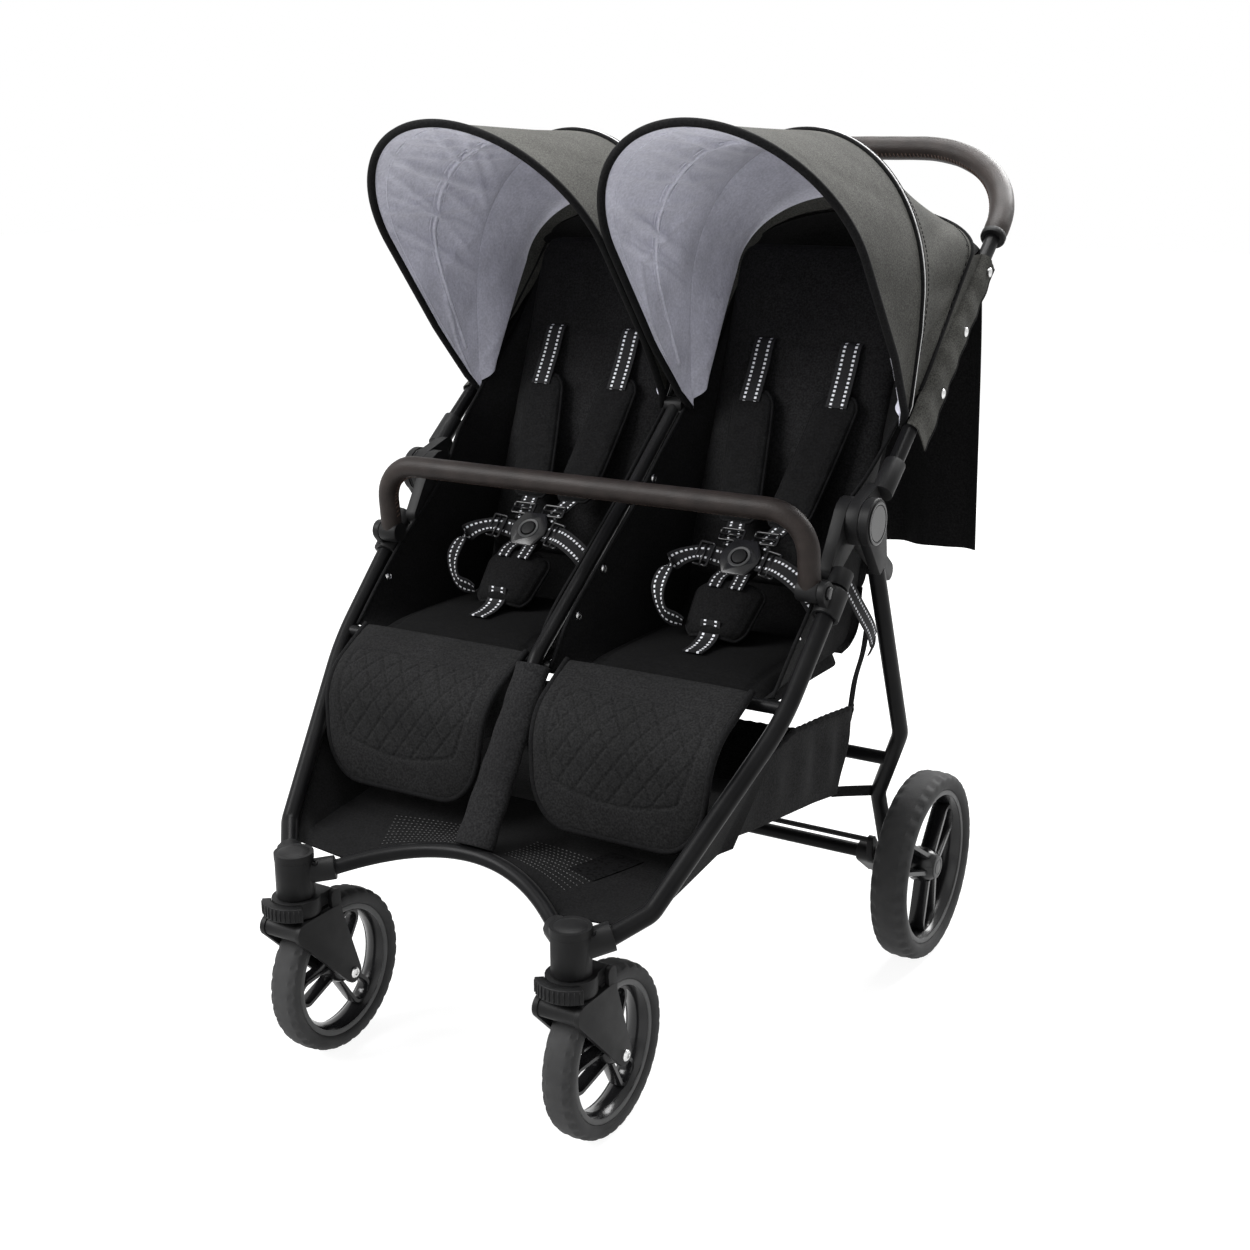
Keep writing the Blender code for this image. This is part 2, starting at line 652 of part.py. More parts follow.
def hinges():
    for name, side in SIDES:
        inner_span = (HINGE_INNER_X, HINGE_INNER_X + HINGE_LAYER)
        middle_span = (HINGE_MIDDLE_X, HINGE_MIDDLE_X + HINGE_LAYER)
        outer_span = (HINGE_OUTER_X, HINGE_OUTER_X + HINGE_OUTER_LAYER)
        front_axis = FRONT_TUBE_X * side
        front_sleeve = rod(at_x(HINGE + FRONT_WAY * FRONT_SLEEVE_START, front_axis),
                           at_x(HINGE + FRONT_WAY * SLEEVE_END, front_axis), SLEEVE_RADIUS)
        ear_span = (HINGE_INNER_X + EAR_INSET, HINGE_INNER_X + HINGE_LAYER - EAR_INSET)
        ear = plate(link_outline((HINGE.y, HINGE.z), 0.5 * HINGE_DISC_RADIUS, (BACK_PIVOT.y, BACK_PIVOT.z),
                                 BACK_TUBE_RADIUS + 0.004), *x_span(side, *ear_span))
        arm = hinge_layer(FRONT_WAY, inner_span, FRONT_SLEEVE_START, side, (ear, front_sleeve))
        add(f"front_hinge_arm_{name}", arm, BLACK_PLASTIC)
        handle_axis = HANDLE_X * side
        handle_sleeve = rod(at_x(HINGE + HANDLE_WAY * HANDLE_SLEEVE_START, handle_axis),
                            at_x(HINGE + HANDLE_WAY * SLEEVE_END, handle_axis), SLEEVE_RADIUS)
        arm = hinge_layer(HANDLE_WAY, middle_span, HANDLE_SLEEVE_START, side, (handle_sleeve,))
        add(f"handle_hinge_arm_{name}", arm, BLACK_PLASTIC, HINGE)
        foot = HINGE + LEG_WAY * (LEG_PLATE_END - EAR_INSET)
        across = Vector((0, -LEG_WAY.z, LEG_WAY.y)) * (ARM_WIDTH / 2 - EAR_INSET)
        corners = [(p.y, p.z, EAR_INSET) for p in (foot + across, foot - across)]
        outline = band_outline(((HINGE.y, HINGE.z, HINGE_DISC_RADIUS), *corners))
        boss_x = (HINGE_OUTER_X + HINGE_OUTER_LAYER) * side
        boss = rod(at_x(HINGE, boss_x - 0.002 * side), at_x(HINGE, boss_x + HINGE_BOSS_HEIGHT * side),
                   HINGE_BOSS_RADIUS, sides=24)
        span = x_span(side, *outer_span)
        add(f"leg_hinge_plate_{name}", fused(plate(outline, *span), boss),
            BLACK_PLASTIC, HINGE)


# Rear legs, cross tube, axle and brake
def leg_point(height):
    """The point of the leg line, from the hinge to the axle, at a height."""
    return HINGE + LEG_WAY * ((height - HINGE_Z) / LEG_WAY.z)


def rear_frame():
    for name, side in SIDES:
        top = at_x(HINGE + LEG_WAY * (LEG_PLATE_END + CLEAR), LEG_UPPER_X)
        jog_top = at_x(leg_point(LEG_JOG_TOP_Z), LEG_UPPER_X)
        jog_bottom = at_x(leg_point(LEG_JOG_BOTTOM_Z), LEG_LOWER_X)
        foot = at_x(REAR_AXLE - LEG_WAY * (AXLE_TUBE_RADIUS + CLEAR), LEG_LOWER_X)
        path = rounded_path([top, jog_top, jog_bottom, foot], (LEG_JOG_RADIUS, LEG_JOG_RADIUS), 4)
        add(f"rear_leg_{name}", tube([side_point(p, side) for p in path], LEG_RADIUS), BLACK_TUBE, HINGE)
    jog = at_x(leg_point(LEG_JOG_BOTTOM_Z), LEG_LOWER_X) - at_x(leg_point(LEG_JOG_TOP_Z), LEG_UPPER_X)
    low = REAR_CROSS_Z - CROSS_TUBE_RADIUS
    leg_x = LEG_UPPER_X + jog.x * (LEG_JOG_TOP_Z - low) / (LEG_JOG_TOP_Z - LEG_JOG_BOTTOM_Z)
    flank = LEG_RADIUS * jog.length / math.hypot(jog.y, jog.z)
    end = leg_x - flank - CLEAR
    middle = leg_point(REAR_CROSS_Z)
    add("rear_cross_tube", tube([at_x(middle, -end), at_x(middle, end)], CROSS_TUBE_RADIUS), BLACK_TUBE, HINGE)
    stub_end = REAR_WHEEL_X + REAR_HUB_LENGTH / 2
    axle = [(0, -stub_end), (STUB_RADIUS, -stub_end), (STUB_RADIUS, -AXLE_TUBE_END_X),
            (AXLE_TUBE_RADIUS, -AXLE_TUBE_END_X), (AXLE_TUBE_RADIUS, AXLE_TUBE_END_X),
            (STUB_RADIUS, AXLE_TUBE_END_X), (STUB_RADIUS, stub_end), (0, stub_end)]
    add("rear_axle", turned(axle, REAR_AXLE, False, 16), BLACK_TUBE, HINGE)
    rod_place = REAR_AXLE + Vector((0, -0.3, 0.954)) * BRAKE_ROD_LIFT
    hole = rod(at_x(REAR_AXLE, -1), at_x(REAR_AXLE, 1), AXLE_TUBE_RADIUS + BORE_CLEAR)
    pieces = []
    for side in (-1, 1):
        span = x_span(side, BRAKE_ARM_X, BRAKE_ARM_X + BRAKE_ARM_THICKNESS)
        arm = link_outline((REAR_AXLE.y, REAR_AXLE.z), BRAKE_COLLAR_RADIUS, (rod_place.y, rod_place.z), 0.007)
        pieces.append(plate(arm, *span))
    span = (BRAKE_ARM_X - 2 * BRAKE_ARM_THICKNESS, BRAKE_ARM_X + BRAKE_ARM_THICKNESS - 0.001)
    tip = (REAR_AXLE.y + 0.75 * BRAKE_PEDAL_LENGTH, REAR_AXLE.z - 0.66 * BRAKE_PEDAL_LENGTH)
    lever = link_outline((REAR_AXLE.y, REAR_AXLE.z), BRAKE_COLLAR_RADIUS - 0.0007, tip, 0.009)
    pieces.append(plate(lever, *span))
    pieces.append(tube([at_x(rod_place, -BRAKE_ARM_X - 0.004), at_x(rod_place, BRAKE_ARM_X + 0.004)],
                       BRAKE_ROD_RADIUS, 8))
    add("brake_pedal", cut(fused(*pieces), hole), BLACK_PLASTIC, REAR_AXLE)
    for name, side in SIDES:
        wheel(f"rear_{name}", at_x(REAR_AXLE, REAR_WHEEL_X * side), REAR_WHEEL_RADIUS, REAR_TYRE_WIDTH,
              REAR_TYRE_DEPTH, REAR_HUB_RADIUS, REAR_HUB_LENGTH)


# Handle, grip and centre frame
def handle_point(x, reach):
    return at_x(HINGE + HANDLE_WAY * reach, x)


def handle():
    start = SLEEVE_END + CLEAR
    corners = [handle_point(HANDLE_TOP_X, HANDLE_REACH), handle_point(-HANDLE_TOP_X, HANDLE_REACH)]
    bends = (HANDLE_CORNER, HANDLE_CORNER)
    path = rounded_path([handle_point(HANDLE_X, start), *corners, handle_point(-HANDLE_X, start)], bends, 8)
    add("handle_tube", tube(path, HANDLE_TUBE_RADIUS), BLACK_TUBE, HINGE)
    grip_start = HANDLE_REACH - GRIP_LEG
    lean = (grip_start - start) / (HANDLE_REACH - start)
    grip_x = HANDLE_X + (HANDLE_TOP_X - HANDLE_X) * lean
    ends = [handle_point(grip_x, grip_start), *corners, handle_point(-grip_x, grip_start)]
    sleeve = tube(rounded_path(ends, bends, 8), GRIP_RADIUS)
    bore = tube(path, HANDLE_TUBE_RADIUS + BORE_CLEAR)
    add("handle_grip", cut(sleeve, bore), LEATHER, HINGE)
    foot = arch_point(0)
    bend = Vector((0, CENTRE_BEND_Y, CENTRE_BEND_Z))
    rise = (bend - foot).normalized()
    last = (HINGE - bend).normalized()
    path = rounded_path([foot + rise * (CROSS_TUBE_RADIUS + CLEAR), bend,
                         HINGE - last * (CENTRE_KNUCKLE_RADIUS + CLEAR)], (0.06,))
    add("centre_tube", tube(path, CENTRE_TUBE_RADIUS), BLACK_TUBE)
    half = Vector((CENTRE_TUBE_RADIUS, 0, 0))
    knuckle = rod(HINGE - half, HINGE + half, CENTRE_KNUCKLE_RADIUS)
    arm = tube([HINGE, CANOPY_PIVOT], CENTRE_ARM_RADIUS)
    pin = rod(at_x(CANOPY_PIVOT, -PIVOT_PIN_HALF), at_x(CANOPY_PIVOT, PIVOT_PIN_HALF), CENTRE_ARM_RADIUS + 0.002)
    add("centre_arm", fused(knuckle, arm, pin), BLACK_TUBE, HINGE)


# Bumper bar, its clamps on the front tubes and the release buttons
def bumper_bar():
    top = BAR_PIVOT + BAR_WAY * BAR_RISE
    path = rounded_path([at_x(BAR_PIVOT, BAR_X), at_x(top, BAR_X), at_x(top, -BAR_X), at_x(BAR_PIVOT, -BAR_X)],
                        (BAR_CORNER, BAR_CORNER), 8)
    ends = []
    for side in (-1, 1):
        ends.append(rod(at_x(BAR_PIVOT, (BAR_X - BAR_RADIUS) * side), at_x(BAR_PIVOT, (BAR_X + BAR_RADIUS) * side),
                        BAR_RADIUS))
    add("bumper_bar", fused(tube(path, BAR_RADIUS, 12), *ends), LEATHER, BAR_PIVOT)
    ear_x = BAR_X + BAR_RADIUS + HINGE_GAP
    face_x = ear_x + EAR_THICKNESS
    for name, side in SIDES:
        way = side_point(FRONT_TUBE_WAY, side)
        centre = side_point(FRONT_TUBE_TOP, side) + way * (CLAMP_REACH - SLEEVE_END - CLEAR)
        half = way * CLAMP_LENGTH / 2
        sleeve = rod(centre - half, centre + half, CLAMP_RADIUS)
        ear = plate(link_outline((centre.y, centre.z), CLAMP_RADIUS - 0.002, (BAR_PIVOT.y, BAR_PIVOT.z), BAR_RADIUS),
                    *x_span(side, ear_x, face_x))
        bore = rod(centre - way * 0.1, centre + way * 0.1, FRONT_TUBE_RADIUS + BORE_CLEAR)
        floor = ear_x + POCKET_FLOOR
        pocket = rod(at_x(BAR_PIVOT, floor * side), at_x(BAR_PIVOT, (face_x + 0.02) * side),
                     BUTTON_RADIUS + BORE_CLEAR)
        notch = rod(at_x(BAR_PIVOT, (BAR_X - 2 * BAR_RADIUS) * side), at_x(BAR_PIVOT, ear_x * side),
                    BAR_RADIUS + 2 * HINGE_GAP)
        add(f"bar_clamp_{name}", cut(fused(cut(sleeve, notch), ear), bore, pocket), BLACK_PLASTIC)
        button_x = floor + BUTTON_TRAVEL + CLEAR
        button = rod(at_x(BAR_PIVOT, button_x * side), at_x(BAR_PIVOT, (button_x + BUTTON_HEIGHT) * side),
                     BUTTON_RADIUS)
        add(f"bar_button_{name}", button, BLACK_PLASTIC, at_x(BAR_PIVOT, button_x * side))


# Seats, backrests, leg rests and harness
def seat_block(x_middle, x_half, start, way, up, length, thickness, crown, drawn):
    """A pad along way from start: crowned on top, with its sides drawn in between the corners."""
    def shape(u, v, w):
        pull = 1 - drawn * (1 - v * v)
        lift = crown * (1 - u * u) * (1 - v * v) if w > 0 else 0.0
        place = start + way * ((v + 1) / 2 * length) + up * ((w + 1) / 2 * thickness + lift)
        return at_x(place, x_middle + u * x_half * pull)
    return shape


def seats():
    half = (SEAT_OUTER_X - SEAT_INNER_X) / 2
    seat_start = Vector((0, SEAT_TUBE_Y + SEAT_TUBE_RADIUS + CLEAR, SEAT_BOTTOM_Z))
    add("seat_front_tube", seat_tube(), BLACK_TUBE)
    back_end = HINGE_INNER_X + EAR_INSET - CLEAR
    add("back_tube", tube([at_x(BACK_PIVOT, -back_end), at_x(BACK_PIVOT, back_end)], BACK_TUBE_RADIUS),
        BLACK_TUBE, BACK_PIVOT)
    back_start = BACK_PIVOT - BACK_WAY * BACK_BELOW + BACK_FRONT * BACK_TUBE_RADIUS * 0.89
    for name, side in SIDES:
        seat = seat_block(SEAT_X * side, half, seat_start, Vector((0, 1, 0)), Vector((0, 0, 1)),
                          SEAT_BACK_Y - seat_start.y, SEAT_TOP_Z - SEAT_BOTTOM_Z - 0.006, 0.006, 0.03)
        add(f"seat_pad_{name}", cushion(seat), BLACK_CLOTH)
        back = seat_block(SEAT_X * side, half, back_start, BACK_WAY, BACK_FRONT, BACK_REACH + BACK_BELOW,
                          BACK_THICKNESS - 0.006, 0.006, 0.03)
        add(f"backrest_{name}", cushion(back), BLACK_CLOTH, BACK_PIVOT)
        add(f"leg_rest_{name}", cushion(leg_rest_block(side), 3), CHARCOAL_CLOTH, SEAT_TUBE)


def seat_tube():
    """The seat front tube ends at the flanks of the front side tubes."""
    share = (HINGE_Y - SEAT_TUBE_Y) / (HINGE_Y - FRONT_BEND[1])
    flank = FRONT_TUBE_X + (FRONT_BEND[0] - FRONT_TUBE_X) * share - FRONT_TUBE_RADIUS
    end = flank - SEAT_TUBE_END_GAP
    return tube([at_x(SEAT_TUBE, -end), at_x(SEAT_TUBE, end)], SEAT_TUBE_RADIUS)


def leg_rest_block(side):
    """A pad that rolls over the front of the seat and hangs down, with rounded lower corners."""
    path = rounded_path([(0, y, z) for y, z in LEG_REST_PATH], (LEG_REST_BEND,), 8)
    lengths = np.cumsum([0.0] + [(b - a).length for a, b in zip(path, path[1:])])
    middle = (LEG_REST_INNER_X + LEG_REST_OUTER_X) / 2
    half = (LEG_REST_OUTER_X - LEG_REST_INNER_X) / 2

    def along(distance):
        return Vector([float(np.interp(distance, lengths, [p[k] for p in path])) for k in range(3)])

    def shape(u, v, w):
        distance = (v + 1) / 2 * lengths[-1]
        place = along(distance)
        heading = along(min(distance + 0.004, lengths[-1])) - along(max(distance - 0.004, 0.0))
        inward = Vector((0, -heading.z, heading.y)).normalized()
        low = max(0.0, distance - (lengths[-1] - LEG_REST_CORNER)) / LEG_REST_CORNER
        narrow = half - LEG_REST_CORNER * (1 - math.sqrt(max(0.0, 1 - low * low)))
        crown = 0.003 * (1 - u * u) * (1 - v * v) if w > 0 else 0.0
        place = place + inward * (LEG_REST_THICKNESS * (1 - w) / 2 - crown)
        return at_x(place, (middle + u * narrow) * side)
    return shape


def harness():
    for name, side in SIDES:
        x = SEAT_X * side
        pad = seat_block(x, CROTCH_WIDTH / 2, STRAP_BASE + STRAP_WAY * CROTCH_START - STRAP_UP * CROTCH_THICKNESS / 2,
                         STRAP_WAY, STRAP_UP, CROTCH_END - CROTCH_START, CROTCH_THICKNESS, 0.001, 0.1)
        add(f"crotch_pad_{name}", cushion(pad, 1), BLACK_CLOTH, STRAP_BASE)
        start = CROTCH_END + CLEAR
        wide = BUCKLE_WIDTH / 2
        ring = [(-0.6 * wide, 0), (0.6 * wide, 0), (wide, 0.4 * BUCKLE_LENGTH), (wide, 0.6 * BUCKLE_LENGTH),
                (0.6 * wide, BUCKLE_LENGTH), (-0.6 * wide, BUCKLE_LENGTH), (-wide, 0.6 * BUCKLE_LENGTH),
                (-wide, 0.4 * BUCKLE_LENGTH)]
        flat = upright(ring, -BUCKLE_THICKNESS / 2, BUCKLE_THICKNESS / 2)
        middle = Vector((0, BUCKLE_LENGTH / 2, 0))
        floor = BUCKLE_POCKET_FLOOR - BUCKLE_THICKNESS / 2
        lift = Vector((0, 0, 1))
        pocket = rod(middle + lift * floor, middle + lift * 0.05, BUCKLE_BUTTON_RADIUS + BORE_CLEAR)
        button_floor = floor + BUTTON_TRAVEL + CLEAR
        button = rod(middle + lift * button_floor, middle + lift * (button_floor + BUCKLE_BUTTON_HEIGHT),
                     BUCKLE_BUTTON_RADIUS)
        base = STRAP_BASE + STRAP_WAY * start
        place = Matrix.Translation(at_x(base, x)) @ Matrix.Rotation(STRAP_RISE, 4, "X")
        body = cut(flat, pocket)
        for mesh in (body, button):
            mesh.transform(place)
        add(f"buckle_{name}", body, GLOSS_PLASTIC, STRAP_BASE)
        add(f"buckle_button_{name}", button, GLOSS_PLASTIC, place @ middle)


# Canopies and rear flap
def canopy_arch(tilt, height, straight, half_width, base, side):
    """One bow: sides that spread a little, then half an ellipse, in a plane tilted about the pivot."""
    rise = np.linspace(base, straight, 4)[:-1]
    turn = np.linspace(0, np.pi, 13)
    across = np.concatenate([np.ones(3), np.cos(turn), -np.ones(3)])
    up = np.concatenate([rise, straight + (height - straight) * np.sin(turn), rise[::-1]])
    spread = np.clip((up - base) / CANOPY_SPREAD_HEIGHT, 0, 1)
    half = CANOPY_HALF_WIDTH + (half_width - CANOPY_HALF_WIDTH) * spread
    x = side * (CANOPY_X + half * across)
    y = CANOPY_PIVOT.y - up * np.sin(tilt)
    z = CANOPY_PIVOT.z + up * np.cos(tilt)
    return np.stack([x, y, z], -1)


def canopy_shell(front, back, rows, side):
    """A cloth stretched straight from one bow to the next."""
    share = np.linspace(0, 1, rows)[:, None, None]
    return sheet(canopy_arch(*front, side) * (1 - share) + canopy_arch(*back, side) * share, CLOTH)


def canopies():
    seam = SEAM_GAP / BOW_HEIGHT / 2
    rim = (RIM_TILT, RIM_HEIGHT, RIM_STRAIGHT, RIM_HALF_WIDTH, FRONT_BASE_HEIGHT)
    rear = (REAR_TILT, REAR_HEIGHT, REAR_STRAIGHT, CANOPY_HALF_WIDTH, REAR_BASE_HEIGHT)
    bow = (BOW_HEIGHT, BOW_STRAIGHT, BOW_HALF_WIDTH, FRONT_BASE_HEIGHT)
    for name, side in SIDES:
        add(f"canopy_front_{name}", canopy_shell(rim, (BOW_TILT + seam, *bow), 5, side), GREY_CLOTH, CANOPY_PIVOT)
        add(f"canopy_rear_{name}", canopy_shell((BOW_TILT - seam, *bow), rear, 5, side), GREY_CLOTH, HINGE)
    top_y = CANOPY_PIVOT.y - REAR_HEIGHT * math.sin(REAR_TILT)
    top_z = CANOPY_PIVOT.z + REAR_HEIGHT * math.cos(REAR_TILT) - FLAP_TOP_DROP
    x, drop = np.meshgrid(np.linspace(-1, 1, 4 * FLAP_FOLDS + 1), np.linspace(0, 1, 6), indexing="ij")
    fold = FLAP_FOLD_DEPTH * np.sin(x * np.pi * FLAP_FOLDS) * drop
    half = FLAP_TOP_HALF_WIDTH + (FLAP_HALF_WIDTH - FLAP_TOP_HALF_WIDTH) * np.sqrt(drop)
    y = top_y + (FLAP_BOTTOM_Y - top_y) * np.sqrt(drop) + fold
    z = top_z + (FLAP_BOTTOM_Z - top_z) * drop
    add("rear_flap", sheet(np.stack([x * half, y, z], -1), CLOTH), BLACK_CLOTH, HINGE)


# Foot tray and basket
def under_frame():
    u, v = np.meshgrid(np.linspace(-1, 1, 13), np.linspace(0, 1, 5), indexing="ij")
    reach = BRACKET_INNER_END[0] - TRAY_BRACKET_GAP
    share = (u * reach / BRACKET_INNER_END[0]) ** 2
    slope = 2 * (BRACKET_INNER_END[1] - ARCH_MIDDLE_Y) * u * reach / BRACKET_INNER_END[0] ** 2
    gap = (CROSS_TUBE_RADIUS + 2 * CLEAR) * np.sqrt(1 + slope ** 2)
    front_y = ARCH_MIDDLE_Y + (BRACKET_INNER_END[1] - ARCH_MIDDLE_Y) * share + gap
    front_z = ARCH_MIDDLE_Z + (BRACKET_INNER_END[2] - ARCH_MIDDLE_Z) * share
    x = u * (reach * (1 - v) + TRAY_BACK_X * v)
    y = front_y * (1 - v) + TRAY_BACK_Y * v
    z = front_z * (1 - v) + TRAY_BACK_Z * v - TRAY_SAG * np.sin(np.pi * v) * (1 - u * u)
    floor = np.stack([x, y, z], -1)
    down = Vector((0, FRONT_BEND[2] - FRONT_TOE[2], FRONT_TOE[1] - FRONT_BEND[1])).normalized()
    drop = down * (FRONT_TUBE_RADIUS + TRAY_THICKNESS / 2 + TRAY_TUBE_GAP)
    along = TRAY_TUBE_START + (TRAY_TUBE_END - TRAY_TUBE_START) * v[0]
    top = np.outer(1 - along, FRONT_TOE) + np.outer(along, FRONT_BEND) + np.array(drop)
    edge = floor[-1].copy()
    edge[:, 0] = np.maximum(edge[:, 0], TRAY_EDGE_X)
    edge[0] = 0.5 * (floor[-1, 0] + top[0])
    mirror = np.array([-1, 1, 1])
    tray = np.concatenate([[top * mirror, edge * mirror], floor, [edge, top]])
    add("foot_tray", sheet(tray, TRAY_THICKNESS), BLACK_CLOTH)
    rear_y = leg_point(REAR_CROSS_Z).y - CROSS_TUBE_RADIUS - TRAY_THICKNESS / 2 - CLEAR
    low, high = BASKET_FRONT_Z, BASKET_FRONT_Z + BASKET_FRONT_LIP
    mid_low, mid_high = BASKET_MID_BOTTOM_Z, BASKET_MID_TOP_Z
    end_low, end_high = BASKET_REAR_BOTTOM_Z, BASKET_REAR_TOP_Z
    stations = ((BASKET_FRONT_Y, low, high, 0.90),
                (0.8 * BASKET_FRONT_Y + 0.2 * BASKET_MID_Y, 0.7 * low + 0.3 * mid_low, 0.6 * high + 0.4 * mid_high, 0.94),
                (0.5 * (BASKET_FRONT_Y + BASKET_MID_Y), 0.4 * low + 0.6 * mid_low, 0.2 * high + 0.8 * mid_high, 0.97),
                (BASKET_MID_Y, mid_low, mid_high, 1.0),
                (0.5 * (BASKET_MID_Y + rear_y), 0.5 * (mid_low + end_low), 0.5 * (mid_high + end_high), 1.0),
                (rear_y - BASKET_REAR_RUN, end_low, end_high, 1.0),
                (rear_y, 0.5 * (end_low + end_high), end_high, 0.99),
                (rear_y, 0.4 * end_low + 0.6 * end_high, end_high, 0.98))
    side = np.linspace(-1, 1, 17)
    flat = np.clip(np.abs(side) / 0.625, 0, 1)
    wall = np.clip((np.abs(side) - 0.625) / 0.375, 0, 1)
    bulge = np.sign(side) * (0.95 * flat + 0.05 * np.sin(0.5 * np.pi * wall))
    rows = []
    for y, bottom, rim, wide in stations:
        sag = BASKET_SAG * (1 - flat ** 2) * min(1, (rim - bottom) / (mid_high - mid_low))
        rows.append(np.stack([bulge * BASKET_HALF_WIDTH * wide, np.full(17, y),
                              bottom - sag + (rim - bottom) * wall], -1))
    add("basket", sheet(np.stack(rows), TRAY_THICKNESS), CHARCOAL_CLOTH)


front_frame()
casters()
hinges()
rear_frame()
handle()
bumper_bar()
seats()
harness()
canopies()
under_frame()
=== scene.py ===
import json
import math

import bmesh
import bpy
import numpy as np
from mathutils import Matrix, Vector

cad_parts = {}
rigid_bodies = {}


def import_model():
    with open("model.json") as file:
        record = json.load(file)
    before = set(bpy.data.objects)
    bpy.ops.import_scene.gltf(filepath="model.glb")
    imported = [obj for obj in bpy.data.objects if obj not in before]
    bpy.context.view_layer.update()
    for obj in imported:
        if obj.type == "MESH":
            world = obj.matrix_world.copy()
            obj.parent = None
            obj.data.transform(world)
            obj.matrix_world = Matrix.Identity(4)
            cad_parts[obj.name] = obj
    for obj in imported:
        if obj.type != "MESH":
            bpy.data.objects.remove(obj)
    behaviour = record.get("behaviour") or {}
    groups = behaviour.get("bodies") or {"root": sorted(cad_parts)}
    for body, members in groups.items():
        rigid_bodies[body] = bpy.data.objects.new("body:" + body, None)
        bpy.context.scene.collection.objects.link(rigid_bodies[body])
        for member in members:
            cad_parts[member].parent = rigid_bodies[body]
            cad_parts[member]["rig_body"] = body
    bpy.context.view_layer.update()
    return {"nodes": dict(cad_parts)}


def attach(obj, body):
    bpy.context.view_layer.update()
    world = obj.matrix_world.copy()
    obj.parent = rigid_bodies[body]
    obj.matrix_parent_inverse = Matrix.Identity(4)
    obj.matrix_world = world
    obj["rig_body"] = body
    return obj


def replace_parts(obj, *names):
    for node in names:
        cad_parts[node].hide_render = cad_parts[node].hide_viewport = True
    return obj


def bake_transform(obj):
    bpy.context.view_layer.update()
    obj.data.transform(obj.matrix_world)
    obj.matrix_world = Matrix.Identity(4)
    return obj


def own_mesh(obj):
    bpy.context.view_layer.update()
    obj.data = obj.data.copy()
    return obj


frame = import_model()

# Camera, floor and light: the eye is fitted to the photograph, right of the front and above the handle.
# The floor is plain and pale, and four soft lamps stand round the object.
# Places are given as x, distance behind the caster axes and height, in metres.
CASTER_Y = -0.48113
CAMERA_PLACE = (1.1204, -1.4234, 1.1017)
CAMERA_TURN = 0.5422
CAMERA_PITCH = 0.2803
CAMERA_ROLL = -0.0035
CAMERA_LENS = 50.14
SENSOR_WIDTH = 36
FLOOR_REACH = 14
WHITE = (1.0, 1.0, 1.0, 1)
SKY_STRENGTH = 0.42


def at(x, y, z):
    """A place from x, the distance behind the caster axes and the height."""
    return np.array([x, y + CASTER_Y, z], float)


def node_tree(name, roughness):
    """A new material, its node tree and its surface shader."""
    material = bpy.data.materials.new(name)
    material.use_nodes = True
    shader = material.node_tree.nodes["Principled BSDF"]
    shader.inputs["Roughness"].default_value = roughness
    return material, material.node_tree, shader


forward = np.array([-math.sin(CAMERA_TURN) * math.cos(CAMERA_PITCH),
                    math.cos(CAMERA_TURN) * math.cos(CAMERA_PITCH), -math.sin(CAMERA_PITCH)])
right = np.array([math.cos(CAMERA_TURN), math.sin(CAMERA_TURN), 0.0])
over = np.cross(right, forward)
right, over = (right * math.cos(CAMERA_ROLL) + over * math.sin(CAMERA_ROLL),
               over * math.cos(CAMERA_ROLL) - right * math.sin(CAMERA_ROLL))
lens = bpy.data.cameras.new("camera")
lens.sensor_width = SENSOR_WIDTH
lens.lens = CAMERA_LENS
camera = bpy.data.objects.new("camera", lens)
pose = Matrix(np.stack([right, over, -forward], 1).tolist()).to_4x4()
pose.translation = at(*CAMERA_PLACE).tolist()
camera.matrix_world = pose
bpy.context.scene.collection.objects.link(camera)
bpy.context.scene.camera = camera

floor_mesh = bpy.data.meshes.new("floor")
floor_corners = [(x * FLOOR_REACH, y * FLOOR_REACH, 0) for x, y in ((-1, -1), (1, -1), (1, 1), (-1, 1))]
floor_mesh.from_pydata(floor_corners, [], [(0, 1, 2, 3)])
floor = bpy.data.objects.new("floor", floor_mesh)
floor_look, _, floor_shader = node_tree("pale floor", 0.9)
for socket, value in (("Base Color", (0.2, 0.2, 0.2, 1)), ("Emission Color", WHITE),
                      ("Emission Strength", 0.91), ("Specular IOR Level", 0.1)):
    floor_shader.inputs[socket].default_value = value
floor_mesh.materials.append(floor_look)
bpy.context.scene.collection.objects.link(floor)

world = bpy.data.worlds.new("studio")
world.use_nodes = True
nodes, links = world.node_tree.nodes, world.node_tree.links
sky = nodes["Background"]
sky.inputs["Color"].default_value = WHITE
sky.inputs["Strength"].default_value = SKY_STRENGTH
seen = nodes.new("ShaderNodeBackground")
seen.inputs["Color"].default_value = WHITE
ray = nodes.new("ShaderNodeLightPath")
choose = nodes.new("ShaderNodeMixShader")
shown = ray.outputs["Is Camera Ray"]
for kind in ("Is Glossy Ray", "Is Transmission Ray"):
    either = nodes.new("ShaderNodeMath")
    either.operation = "MAXIMUM"
    links.new(shown, either.inputs[0])
    links.new(ray.outputs[kind], either.inputs[1])
    shown = either.outputs["Value"]
links.new(shown, choose.inputs["Fac"])
links.new(sky.outputs["Background"], choose.inputs[1])
links.new(seen.outputs["Background"], choose.inputs[2])
links.new(choose.outputs["Shader"], nodes["World Output"].inputs["Surface"])
bpy.context.scene.world = world
bpy.context.scene.view_settings.view_transform = "Standard"


